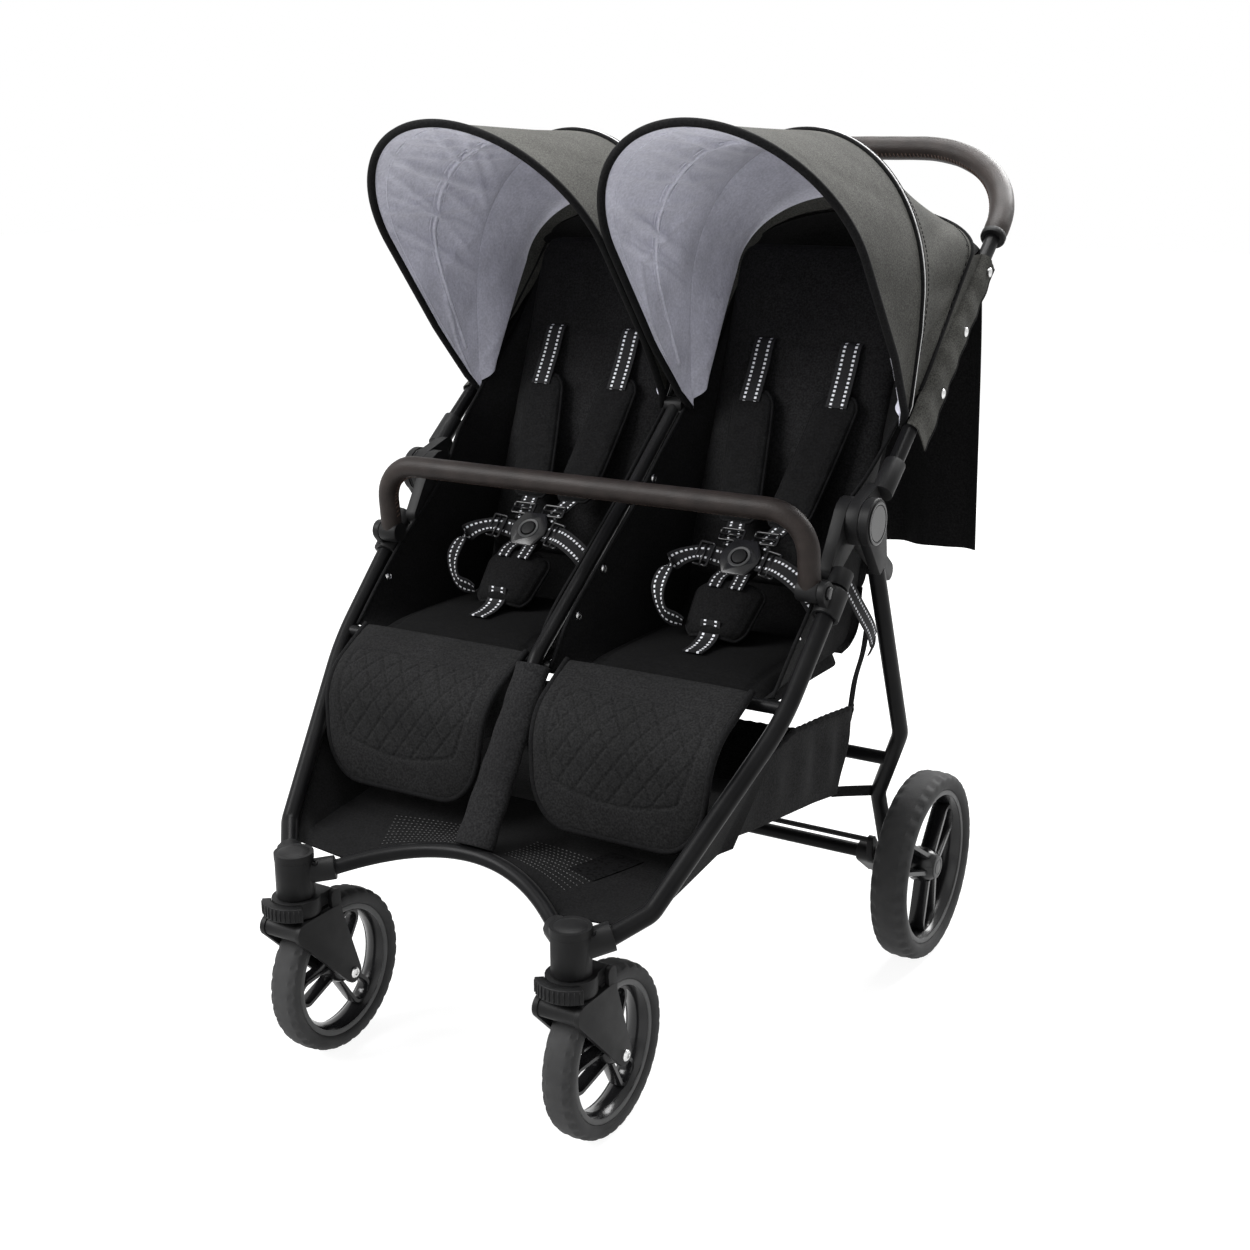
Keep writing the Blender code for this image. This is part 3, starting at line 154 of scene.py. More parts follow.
def soft_light(name, place, target, size, power):
    """A square lamp that faces its target."""
    light = bpy.data.lights.new(name, "AREA")
    light.shape = "SQUARE"
    light.size = size
    light.energy = power
    lamp = bpy.data.objects.new(name, light)
    lamp.location = place
    lamp.rotation_euler = (Vector(target) - Vector(place)).to_track_quat("-Z", "Y").to_euler()
    bpy.context.scene.collection.objects.link(lamp)


soft_light("key", (-2.6, -3.0, 3.4), (0, 0, 0.5), 2.6, 370)
soft_light("fill", (3.2, -2.6, 2.0), (0, 0, 0.6), 2.6, 14)
soft_light("top", (-0.2, 0.7, 3.6), (0, 0, 0.6), 2.4, 210)
soft_light("rim", (0.7, 3.4, 3.0), (0, 0.2, 0.8), 2.0, 260)

# Wheels: a round tyre with nicked shoulders, a deep rim with a grey lip, and three U-shaped double spokes.
# They are moulded in rubber and black plastic, and turn on the rear axle or on a bolt in the fork.
# The rear hubs carry a ringed cap.
SIDES = (("left", -1.0), ("right", 1.0))
REAR_X = 0.334
AXLE = (0.6655, 0.129)
FRONT_X = 0.194
FRONT_AXLE = (0.063, 0.102)
HUB_BORE = 0.0066
NICK_DEPTH = 0.0027
GROOVE_DEPTH = 0.0011
# Radius, width, depth of the tyre, and the hub's radius and half width.
REAR_WHEEL = (0.129, 0.049, 0.025, (0.024, 0.022))
FRONT_WHEEL = (0.102, 0.039, 0.021, (0.018, 0.019))


def unit(v):
    """Each vector over its own length."""
    v = np.asarray(v, float)
    return v / np.maximum(np.linalg.norm(v, axis=-1, keepdims=True), 1e-12)


def rounded(points, radii, steps):
    """Straight runs through points, with an arc of the given radius at each inner point."""
    points = [np.asarray(p, float) for p in points]
    path = [points[0]]
    for before, corner, after, radius in zip(points, points[1:], points[2:], radii):
        into, out = unit(corner - before), unit(after - corner)
        turn = math.acos(float(np.clip(into @ out, -1, 1)))
        centre = corner + unit(out - into) * radius / math.cos(turn / 2)
        start = corner - into * radius * math.tan(turn / 2) - centre
        other = radius * into
        for share in np.linspace(0, 1, steps + 1):
            path.append(centre + start * math.cos(turn * share) + other * math.sin(turn * share))
    path.append(points[-1])
    return np.array(path)


def make(name, verts, faces, material, body, slot, uv=None, sharp=None):
    """One named mesh piece. It rides on a CAD body, where one is given. The slot argument is not used."""
    mesh = bpy.data.meshes.new(name)
    mesh.from_pydata(np.asarray(verts, float).tolist(), [], [list(map(int, f)) for f in faces])
    if uv is not None:
        layer = mesh.uv_layers.new(name="UVMap")
        index = np.zeros(len(mesh.loops), int)
        mesh.loops.foreach_get("vertex_index", index)
        layer.data.foreach_set("uv", np.asarray(uv, np.float32)[index].ravel())
    mesh.validate()
    shape = bmesh.new()
    shape.from_mesh(mesh)
    bmesh.ops.recalc_face_normals(shape, faces=shape.faces)
    shape.to_mesh(mesh)
    shape.free()
    mesh.shade_smooth()
    if sharp:
        mesh.set_sharp_from_angle(angle=math.radians(sharp))
    mesh.materials.append(material)
    piece = bpy.data.objects.new(name, mesh)
    bpy.context.scene.collection.objects.link(piece)
    if body:
        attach(piece, body)
    return piece


def grid_faces(rows, columns, wrap=False, close=False):
    """Quads between a grid's neighbours. Wrap joins its last column to its first, and close its last row."""
    index = np.arange(rows * columns).reshape(rows, columns)
    if wrap:
        index = np.hstack([index, index[:, :1]])
    if close:
        index = np.vstack([index, index[:1]])
    corners = [index[:-1, :-1], index[1:, :-1], index[1:, 1:], index[:-1, 1:]]
    return np.stack(corners, -1).reshape(-1, 4).tolist()


def lathe(profile, centre, way, steps):
    """A turned shape: (radius, distance) points carried round an axis.
    A profile that ends where it starts makes a ring, and any other is closed at both ends."""
    way = unit(way)
    side = unit(np.cross(way, np.eye(3)[np.argmin(np.abs(way))]))
    up = np.cross(way, side)
    turn = np.linspace(0, 2 * np.pi, steps, endpoint=False)
    ring = np.cos(turn)[:, None] * side + np.sin(turn)[:, None] * up
    profile = np.asarray(profile, float)
    closed = np.allclose(profile[0], profile[-1])
    if closed:
        profile = profile[:-1]
    verts = np.asarray(centre, float) + profile[:, 1, None, None] * way + profile[:, 0, None, None] * ring
    faces = grid_faces(len(profile), steps, wrap=True, close=closed)
    if not closed:
        faces.append(list(range(steps))[::-1])
        faces.append(list(range((len(profile) - 1) * steps, len(profile) * steps)))
    return verts.reshape(-1, 3), faces


def merged(parts):
    """Several (verts, faces) joined in one mesh."""
    verts, faces, start = [], [], 0
    for part_verts, part_faces in parts:
        part_verts = np.asarray(part_verts).reshape(-1, 3)
        verts.append(part_verts)
        faces += [[start + k for k in f] for f in part_faces]
        start += len(part_verts)
    return np.vstack(verts), faces


def noise(tree, scale, detail):
    """A cloud pattern on object coordinates, with its scale in cycles a metre."""
    place = tree.nodes.new("ShaderNodeTexCoord")
    texture = tree.nodes.new("ShaderNodeTexNoise")
    texture.inputs["Scale"].default_value = scale
    texture.inputs["Detail"].default_value = detail
    tree.links.new(place.outputs["Object"], texture.inputs["Vector"])
    return texture.outputs["Fac"]


def ramp(tree, value, low, high, start=0.3, end=0.7):
    """Two colours, blended as the value goes from start to end."""
    colours = tree.nodes.new("ShaderNodeValToRGB")
    colours.color_ramp.elements[0].position = start
    colours.color_ramp.elements[0].color = (*low, 1)
    colours.color_ramp.elements[1].position = end
    colours.color_ramp.elements[1].color = (*high, 1)
    tree.links.new(value, colours.inputs["Fac"])
    return colours.outputs["Color"]


def bump(tree, shader, heights):
    """Chain of bump nodes: (height, strength, distance)."""
    last = None
    for height, strength, distance in heights:
        node = tree.nodes.new("ShaderNodeBump")
        node.inputs["Strength"].default_value = strength
        node.inputs["Distance"].default_value = distance
        tree.links.new(height, node.inputs["Height"])
        if last:
            tree.links.new(last, node.inputs["Normal"])
        last = node.outputs["Normal"]
    tree.links.new(last, shader.inputs["Normal"])


def rough_map(tree, shader, value, low, high):
    """Roughness that goes from low to high with the value."""
    spread = tree.nodes.new("ShaderNodeMapRange")
    spread.inputs["To Min"].default_value = low
    spread.inputs["To Max"].default_value = high
    tree.links.new(value, spread.inputs["Value"])
    tree.links.new(spread.outputs["Result"], shader.inputs["Roughness"])


def plastic(name, dark, light, roughness=0.45, grain=700, depth=0.0003, shine=0.28):
    """Moulded plastic, metal or rubber: a slow mottle of two colours under a fine grain."""
    material, tree, shader = node_tree(name, roughness)
    tree.links.new(ramp(tree, noise(tree, 22, 4), dark, light), shader.inputs["Base Color"])
    rough_map(tree, shader, noise(tree, 60, 3), roughness - 0.07, roughness + 0.09)
    shader.inputs["Specular IOR Level"].default_value = shine
    bump(tree, shader, [(noise(tree, grain, 2), 0.25, depth)])
    return material


# Colours are linear values, set by comparing renders with the photograph.
RUBBER = plastic("tyre rubber", (0.014, 0.014, 0.0145), (0.027, 0.027, 0.0275), 0.75, 420, 0.0005)
GLOSS_BLACK = plastic("gloss black plastic", (0.004, 0.004, 0.0045), (0.008, 0.008, 0.0085),
                      0.2, 500, 0.00008, 0.3)
GREY_RIM = plastic("grey rim edge", (0.030, 0.0305, 0.031), (0.050, 0.0505, 0.051), 0.42)


def tyre(centre, radius, width, depth, nicks):
    """A flattened circle carried round the axle, less slanted nicks on its shoulders and two grooves."""
    turn = np.linspace(0, 2 * np.pi, nicks * 4, endpoint=False)
    arc = np.linspace(-2.62, 2.62, 25)
    half = width / 2
    x = half * np.sign(np.sin(arc)) * np.abs(np.sin(arc)) ** 0.75
    r = radius - depth / 2 + depth / 2 * np.sign(np.cos(arc)) * np.abs(np.cos(arc)) ** 0.7
    shoulder = np.exp(-((np.abs(x) / half - 0.74) / 0.22) ** 2) * (r > radius - 0.5 * depth)
    slant = 3.0 * x[:, None] / half
    cut = (np.sin(turn[None, :] * nicks + slant) > 0.45) * shoulder[:, None] * NICK_DEPTH
    groove = GROOVE_DEPTH * np.exp(-((np.abs(x) / half - 0.30) / 0.07) ** 2) * (r > radius - 0.2 * depth)
    radial = r[:, None] - cut - groove[:, None]
    radial = np.where(np.cos(turn)[None, :] * radial < -(radius - 0.0001), radius - 0.0001, radial)
    verts = np.stack([centre[0] + np.broadcast_to(x[:, None], radial.shape),
                      centre[1] + radial * np.sin(turn), centre[2] + radial * np.cos(turn)], -1)
    return verts.reshape(-1, 3), grid_faces(*radial.shape, wrap=True, close=True)


def spoke_pair(centre, angle, inner, outer, spread, wide, deep, out):
    """One U: an eight-sided section along two ribs from the hub that join in an arc below the rim."""
    corners = [(inner, -0.55 * spread, 0), (outer, -spread, 0), (outer, spread, 0),
               (inner, 0.55 * spread, 0)]
    flat = rounded(corners, (0.85 * spread, 0.85 * spread), 8)
    tangent = unit(np.gradient(flat, axis=0))
    normal = np.stack([-tangent[:, 1], tangent[:, 0], np.zeros(len(flat))], 1)
    bulge = out * 0.25 * deep * (1 - (flat[:, 0] - inner) / (outer - inner))
    section = []
    for s, h in ((-1, -0.6), (-1, 0.6), (-0.6, 1), (0.6, 1), (1, 0.6), (1, -0.6), (0.6, -1), (-0.6, -1)):
        point = flat + normal * s * wide / 2
        point[:, 2] = h * deep / 2 + bulge
        section.append(point)
    ring = np.stack(section, 1)
    c, s = math.cos(angle), math.sin(angle)
    verts = np.stack([centre[0] + ring[..., 2], centre[1] + c * ring[..., 0] - s * ring[..., 1],
                      centre[2] + s * ring[..., 0] + c * ring[..., 1]], -1)
    faces = grid_faces(len(flat), 8, wrap=True)
    faces += [list(range(8))[::-1], list(range(8 * len(flat) - 8, 8 * len(flat)))]
    return verts.reshape(-1, 3), faces


def wheel(name, body, centre, radius, width, depth, hub, out, turn, rear):
    """Tyre, spoked rim and rim lips, with a cap on a rear hub, all turned about the wheel's axle."""
    bead = radius - depth
    wall = 0.70 * width / 2
    tread = tyre(centre, radius, width, depth * 1.04, 38 if rear else 34)
    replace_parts(make(f"{name}_tyre_tread", *tread, RUBBER, body, "tyre_rubber", sharp=32), f"{name}_tyre")
    ring = [(bead - 0.0004, -wall), (bead - 0.0004, wall), (bead - 0.004, wall + 0.001),
            (bead - 0.006, wall - 0.001), (bead - 0.010, 0.45 * wall), (bead - 0.0115, 0),
            (bead - 0.010, -0.45 * wall), (bead - 0.006, -wall + 0.001), (bead - 0.004, -wall - 0.001),
            (bead - 0.0004, -wall)]
    barrel = [(HUB_BORE, -hub[1]), (0.62 * hub[0], -hub[1]), (0.8 * hub[0], -0.8 * hub[1]),
              (hub[0], -0.35 * hub[1]), (hub[0], 0.35 * hub[1]), (0.8 * hub[0], 0.8 * hub[1]),
              (0.62 * hub[0], hub[1]), (HUB_BORE, hub[1]), (HUB_BORE, -hub[1])]
    parts = [lathe(ring, centre, (1, 0, 0), 72), lathe(barrel, centre, (1, 0, 0), 40)]
    for k in range(3):
        angle = turn + k * 2 * math.pi / 3
        parts.append(spoke_pair(centre, angle, 0.7 * hub[0], bead - 0.008, 0.20 * bead, 0.085 * bead,
                                1.25 * wall, out))
    spokes = make(f"{name}_spokes", *merged(parts), GLOSS_BLACK, body, "gloss_plastic", sharp=35)
    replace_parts(spokes, f"{name}_rim")
    lip = [(bead + 0.0012, 0), (bead + 0.0014, 0.0014), (bead - 0.0015, 0.0022), (bead - 0.0048, 0.0012),
           (bead - 0.005, 0), (bead + 0.0012, 0)]
    lips = []
    for side in (-1, 1):
        place = (centre[0] + side * (wall + 0.0006), centre[1], centre[2])
        lips.append(lathe(lip, place, (side, 0, 0), 72))
    make(f"{name}_rim_lip", *merged(lips), GREY_RIM, body, "gloss_plastic", sharp=40)
    face = (centre[0] + out * hub[1], centre[1], centre[2])
    if rear:
        cap = [(0.0155, -0.002), (0.0155, 0.0008), (0.0142, 0.0016), (0.0118, 0.0016), (0.0112, 0.0008),
               (0.0098, 0.0008), (0.0088, 0.0019), (0.0, 0.0022)]
        turned = lathe(cap, face, (out, 0, 0), 40)
        make(f"{name}_hub_cap", *turned, GREY_RIM, body, "gloss_plastic", sharp=35)


for name, side in SIDES:
    wheel(f"rear_{name}", f"{name}_rear_wheel", at(side * REAR_X, *AXLE), *REAR_WHEEL, side, 0.6, True)
    wheel(f"front_{name}", f"{name}_front_wheel", at(side * FRONT_X, *FRONT_AXLE), *FRONT_WHEEL,
          side, 1.2, False)

# Frame tubes: smooth satin black bars on the same runs as the solids.
# Each one ends at the sleeve, bracket or axle that holds it, and the centre arm and brake pedal are moulded.
HINGE = (0.447, 0.648)
ARM_LENGTH = 0.0953
ARCH_HALF, ARCH_Y, ARCH_Z, ARCH_FORWARD, ARCH_DROP = 0.155, 0.0885, 0.285, 0.0605, 0.0275
TOE = (0.256, 0.064, 0.2825)
HANDLE_TOP = (0.3225, 0.6827)
HANDLE_CORNER = 0.165
MIRROR = np.array([-1, 1, 1])
HANDLE_RISE = math.radians(37.85)
FRONT_BEND = (0.250, 0.4555)
FRONT_RUN = unit(np.array(FRONT_BEND) - np.array(HINGE))
LEG_RUN = unit(np.array(AXLE) - np.array(HINGE))
FRONT_RADIUS = 0.0108
LEG_RADIUS = 0.0105
HANDLE_RADIUS = 0.0095
CROSS_RADIUS = 0.009
SEAT_TUBE_RADIUS = 0.008


def frames(path, first=None):
    """Tangent, side and up vectors along a path, carried without twist."""
    tangent = unit(np.gradient(path, axis=0))
    if first is None:
        first = np.eye(3)[np.argmin(np.abs(tangent[0]))]
    side = [unit(first - tangent[0] * (first @ tangent[0]))]
    for t in tangent[1:]:
        side.append(unit(side[-1] - t * (side[-1] @ t)))
    side = np.array(side)
    return tangent, side, np.cross(tangent, side)


def tube(path, radius, sides, first=None, squash=1.0):
    """A closed round bar along a path: a ring of points, carried without twist, whose radius may change."""
    _, side, up = frames(path, first)
    radius = np.broadcast_to(np.asarray(radius, float), (len(path),))
    turn = np.linspace(0, 2 * np.pi, sides, endpoint=False)
    across, over = np.cos(turn)[None, :, None], np.sin(turn)[None, :, None]
    ring = across * side[:, None] + squash * over * up[:, None]
    verts = (path[:, None] + radius[:, None, None] * ring).reshape(-1, 3)
    faces = grid_faces(len(path), sides, wrap=True)
    faces.append(list(range(sides)))
    faces.append(list(range((len(path) - 1) * sides, len(path) * sides))[::-1])
    return verts, faces


def refined(node, material, width, segments=2):
    """A CAD node's own shape with its edges eased, standing for that node."""
    source = frame["nodes"][node]
    shape = bmesh.new()
    shape.from_mesh(source.data)
    bmesh.ops.remove_doubles(shape, verts=shape.verts, dist=0.00002)
    bmesh.ops.dissolve_limit(shape, angle_limit=math.radians(2), verts=shape.verts, edges=shape.edges)
    mesh = bpy.data.meshes.new(node + "_eased")
    shape.to_mesh(mesh)
    shape.free()
    piece = bpy.data.objects.new(node + "_eased", mesh)
    bpy.context.scene.collection.objects.link(piece)
    ease = piece.modifiers.new("ease", "BEVEL")
    ease.width = width
    ease.segments = segments
    ease.limit_method = "ANGLE"
    ease.angle_limit = math.radians(38)
    ease.use_clamp_overlap = True
    bpy.context.view_layer.update()
    done = bpy.data.meshes.new_from_object(piece.evaluated_get(bpy.context.evaluated_depsgraph_get()))
    piece.modifiers.clear()
    piece.data = done
    done.shade_smooth()
    done.set_sharp_from_angle(angle=math.radians(40))
    done.materials.clear()
    done.materials.append(material)
    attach(piece, source["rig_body"])
    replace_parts(piece, node)


BLACK_TUBE = plastic("satin black tube", (0.003, 0.003, 0.0033), (0.006, 0.006, 0.0063),
                     0.34, 900, 0.00015, 0.07)
BLACK_PLASTIC = plastic("moulded black plastic", (0.004, 0.004, 0.0043), (0.0072, 0.0072, 0.0074),
                        0.5, shine=0.13)


def handle_at(x, reach, lift=0.0):
    """A place by its reach along the handle from the hinge and its lift off the handle's line."""
    c, s = math.cos(HANDLE_RISE), math.sin(HANDLE_RISE)
    return at(x, HINGE[0] + reach * c - lift * s, HINGE[1] + reach * s + lift * c)


def handle_x(reach):
    """The handle's legs lean in a little on their way up."""
    return 0.330 - 0.0075 * (reach - ARM_LENGTH) / 0.5874


def leg_at(x, height):
    """A place on the rear leg's straight line at a height."""
    reach = (height - HINGE[1]) / LEG_RUN[1]
    return at(x, HINGE[0] + LEG_RUN[0] * reach, height)


def bar(name, node, path, radius, body, material=BLACK_TUBE, slot="frame_tube"):
    """A round bar along a path, standing for a CAD node."""
    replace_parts(make(name, *tube(path, radius, 22), material, body, slot, sharp=50), node)


front_top = at(0.322, HINGE[0] + FRONT_RUN[0] * ARM_LENGTH, HINGE[1] + FRONT_RUN[1] * ARM_LENGTH)
toe_end = at(0.228, 0.030, 0.2635)
toe_end = toe_end - unit(at(*TOE) - toe_end) * 0.005
front_path = rounded([front_top, at(0.318, *FRONT_BEND), at(*TOE), toe_end], (0.35, 0.03), 14)
leg_top = at(0.331, HINGE[0] + LEG_RUN[0] * 0.0673, HINGE[1] + LEG_RUN[1] * 0.0673)
leg_path = rounded([leg_top, leg_at(0.331, 0.345), leg_at(0.285, 0.240), leg_at(0.285, 0.138)],
                   (0.05, 0.05), 8)
for name, side in SIDES:
    mirror = np.array([side, 1, 1])
    bar(f"front_tube_bar_{name}", f"front_tube_{name}", front_path * mirror, FRONT_RADIUS, "chassis")
    bar(f"rear_leg_bar_{name}", f"rear_leg_{name}", leg_path * mirror, LEG_RADIUS, "rear_frame")

arch_x = np.linspace(-0.160, 0.160, 41)
arch_share = (arch_x / ARCH_HALF) ** 2
arch_path = np.stack([arch_x, ARCH_Y - ARCH_FORWARD * arch_share + CASTER_Y,
                      ARCH_Z - ARCH_DROP * arch_share], 1)
bar("front_cross_bar", "front_cross_tube", arch_path, CROSS_RADIUS, "chassis")
for name, end, radius, body in (("seat_front", at(0.312, 0.262, 0.467), SEAT_TUBE_RADIUS, "chassis"),
                                ("back", at(0.2967, 0.566, 0.560), SEAT_TUBE_RADIUS, "back_carrier"),
                                ("rear_cross", leg_at(0.308, 0.30), CROSS_RADIUS, "rear_frame")):
    bar(name + "_bar", name + "_tube", np.linspace(end * MIRROR, end, 3), radius, body)
axle_x = np.array([-0.356, -0.302, -0.3019, -0.2999, 0.2999, 0.3019, 0.302, 0.356])
axle_r = np.array([0.006, 0.006, 0.0085, 0.0095, 0.0095, 0.0085, 0.006, 0.006])
axle_path = np.stack([axle_x, np.full(8, AXLE[0] + CASTER_Y), np.full(8, AXLE[1])], 1)
bar("rear_axle_bar", "rear_axle", axle_path, axle_r, "rear_frame")
foot = at(0, ARCH_Y, ARCH_Z)
bend = at(0, 0.2315, 0.490)
knuckle = at(0, *HINGE)
centre_path = rounded([foot + unit(bend - foot) * 0.0093, bend, knuckle - unit(knuckle - bend) * 0.016],
                      (0.06,), 10)
bar("centre_bar", "centre_tube", centre_path, CROSS_RADIUS, "chassis")
corners = [handle_at(side * HANDLE_TOP[0], HANDLE_TOP[1]) for side in (1, -1)]
handle_path = rounded([handle_at(0.330, ARM_LENGTH), *corners, handle_at(-0.330, ARM_LENGTH)],
                      (HANDLE_CORNER, HANDLE_CORNER), 18)
bar("handle_bar", "handle_tube", handle_path, HANDLE_RADIUS, "handle")
for node in ("centre_arm", "brake_pedal"):
    refined(node, BLACK_PLASTIC, 0.001)

# Grip and bumper bar: brown leatherette over foam, closed by a whip-stitched seam on the inner side.
# Black rings finish the ends of the grip, and turned bosses those of the bumper bar.
WRAP_STEP = 0.006
THREAD_PITCH = 0.0016
GRIP_START = 0.505
GRIP_RADIUS = 0.0163
BAR_X = 0.3035
BAR_RADIUS = 0.0135
BAR_ARM = 0.0935
BAR_TILT = math.radians(96)
BAR_PIVOT = (0.34465, 0.58462)
BAR_TOP = (BAR_PIVOT[0] + BAR_ARM * math.cos(BAR_TILT), BAR_PIVOT[1] + BAR_ARM * math.sin(BAR_TILT))


def even(path, count):
    """The path read again at even steps of its length."""
    length = np.concatenate([[0], np.cumsum(np.linalg.norm(np.diff(path, axis=0), axis=1))])
    marks = np.linspace(0, length[-1], count)
    return np.stack([np.interp(marks, length, path[:, k]) for k in range(3)], 1)


def run_length(path):
    """The sum of the steps from point to point."""
    return float(np.linalg.norm(np.diff(path, axis=0), axis=1).sum())


def leather(name, dark, light):
    """Leatherette: a mottle of two colours under a bump of small cells."""
    material, tree, shader = node_tree(name, 0.5)
    tree.links.new(ramp(tree, noise(tree, 40, 5), dark, light), shader.inputs["Base Color"])
    rough_map(tree, shader, noise(tree, 30, 3), 0.42, 0.6)
    cells = tree.nodes.new("ShaderNodeTexVoronoi")
    cells.inputs["Scale"].default_value = 520
    place = tree.nodes.new("ShaderNodeTexCoord")
    tree.links.new(place.outputs["Object"], cells.inputs["Vector"])
    shader.inputs["Specular IOR Level"].default_value = 0.16
    bump(tree, shader, [(cells.outputs["Distance"], 0.35, 0.0006), (noise(tree, 90, 3), 0.2, 0.0006)])
    return material


def mix(tree, first, second):
    """The product of two colours."""
    node = tree.nodes.new("ShaderNodeMix")
    node.data_type = "RGBA"
    node.blend_type = "MULTIPLY"
    node.inputs["Factor"].default_value = 1.0
    tree.links.new(first, node.inputs[6])
    tree.links.new(second, node.inputs[7])
    return node.outputs[2]


def threads(tree, turn, pitch):
    """Fine threads across UV metres, turned by an angle."""
    place = tree.nodes.new("ShaderNodeTexCoord")
    mapping = tree.nodes.new("ShaderNodeMapping")
    mapping.inputs["Rotation"].default_value = (0, 0, turn)
    wave = tree.nodes.new("ShaderNodeTexWave")
    wave.inputs["Scale"].default_value = 0.314 / pitch
    wave.inputs["Distortion"].default_value = 0.6
    wave.inputs["Detail"].default_value = 1.0
    tree.links.new(place.outputs["UV"], mapping.inputs["Vector"])
    tree.links.new(mapping.outputs["Vector"], wave.inputs["Vector"])
    return wave.outputs["Fac"]


def cloth(name, dark, light, roughness=0.9, grain=420, folds=14, fold_depth=0.004, sheen=0.0,
          crumple=0.0):
    """Woven cloth: flecks times a broad mottle, with folds, crumples and crossed threads as bump."""
    material, tree, shader = node_tree(name, roughness)
    flecks = ramp(tree, noise(tree, grain, 4), dark, light, 0.35, 0.68)
    shade = ramp(tree, noise(tree, 9, 3), (0.72, 0.72, 0.72), (1.0, 1.0, 1.0), 0.3, 0.7)
    tree.links.new(mix(tree, flecks, shade), shader.inputs["Base Color"])
    shader.inputs["Sheen Weight"].default_value = sheen
    shader.inputs["Sheen Roughness"].default_value = 0.5
    shader.inputs["Specular IOR Level"].default_value = 0.08
    bump(tree, shader, [(noise(tree, folds, 2), 0.55, fold_depth),
                        (noise(tree, 3.2 * folds, 4), 0.7, crumple),
                        (threads(tree, 0.0, THREAD_PITCH), 0.18, 0.0005),
                        (threads(tree, math.pi / 2, THREAD_PITCH), 0.18, 0.0005),
                        (noise(tree, grain, 2), 0.25, 0.0004)])
    return material


GRIP = leather("dark brown grip", (0.0088, 0.0066, 0.0059), (0.018, 0.0135, 0.012))
THREAD = cloth("brown thread", (0.05, 0.034, 0.028), (0.09, 0.062, 0.05))


def wrapped_bar(name, node, path, radius, body, seam_way, rings):
    """A bar whose radius wavers a little and tucks in at its ends, with slanted stitches along it."""
    path = even(path, int(run_length(path) / WRAP_STEP))
    tangent = frames(path)[0]
    count = np.arange(len(path))
    wobble = 1 + 0.006 * np.sin(count * 0.9) + 0.004 * np.sin(count * 0.37)
    ends = np.minimum(count, count[::-1])
    tuck = np.where(ends < 2, 0.93 + 0.03 * ends, 1.0)
    bar(name, node, path, radius * wobble * tuck, body, GRIP, "grip_leather")
    seam = unit(seam_way - tangent * np.sum(seam_way * tangent, 1, keepdims=True))
    across = np.cross(tangent, seam)
    stitches = []
    for k in range(4, len(path) - 4):
        place = path[k] + seam[k] * radius
        sway = across[k] * 0.0032
        lift = seam[k] * 0.0006
        slant = tangent[k] * 0.0016
        stitch = np.array([place - sway - slant - lift, place + lift, place + sway + slant - lift])
        stitches.append(tube(stitch, 0.0007, 6))
    make(name + "_stitches", *merged(stitches), THREAD, body, "grip_leather")
    if rings:
        parts = []
        for end, way in ((path[0], tangent[0]), (path[-1], -tangent[-1])):
            ring = [(0.0099, -0.007), (radius * 0.98, -0.007), (radius * 1.03, -0.005),
                    (radius * 1.03, 0.001), (radius * 0.98, 0.002), (0.0099, 0.002), (0.0099, -0.007)]
            parts.append(lathe(ring, end, way, 32))
        make(name + "_end_rings", *merged(parts), BLACK_PLASTIC, body, "black_plastic", sharp=40)


grip_x = handle_x(GRIP_START)
grip_path = rounded([handle_at(grip_x, GRIP_START), *corners, handle_at(-grip_x, GRIP_START)],
                    (HANDLE_CORNER, HANDLE_CORNER), 24)
wrapped_bar("push_grip", "handle_grip", grip_path, GRIP_RADIUS, "handle",
            even(handle_at(0, 0.40) - grip_path, int(run_length(grip_path) / WRAP_STEP)), True)
bar_path = rounded([at(BAR_X, *BAR_PIVOT), at(BAR_X, *BAR_TOP), at(-BAR_X, *BAR_TOP),
                    at(-BAR_X, *BAR_PIVOT)], (0.05, 0.05), 20)
wrapped_bar("bumper_wrap", "bumper_bar", bar_path, BAR_RADIUS, "bar",
            even(at(0, 0.3455, 0.60) - bar_path, int(run_length(bar_path) / WRAP_STEP)), False)
boss = [(0.0, -0.0135), (0.0128, -0.0135), (0.0136, -0.012), (0.0136, 0.012), (0.0128, 0.0135),
        (0.0, 0.0135)]
for name, side in SIDES:
    turned = lathe(boss, at(side * BAR_X, *BAR_PIVOT), (side, 0, 0), 36)
    make(f"bumper_end_{name}", *turned, BLACK_PLASTIC, "bar", "black_plastic", sharp=40)

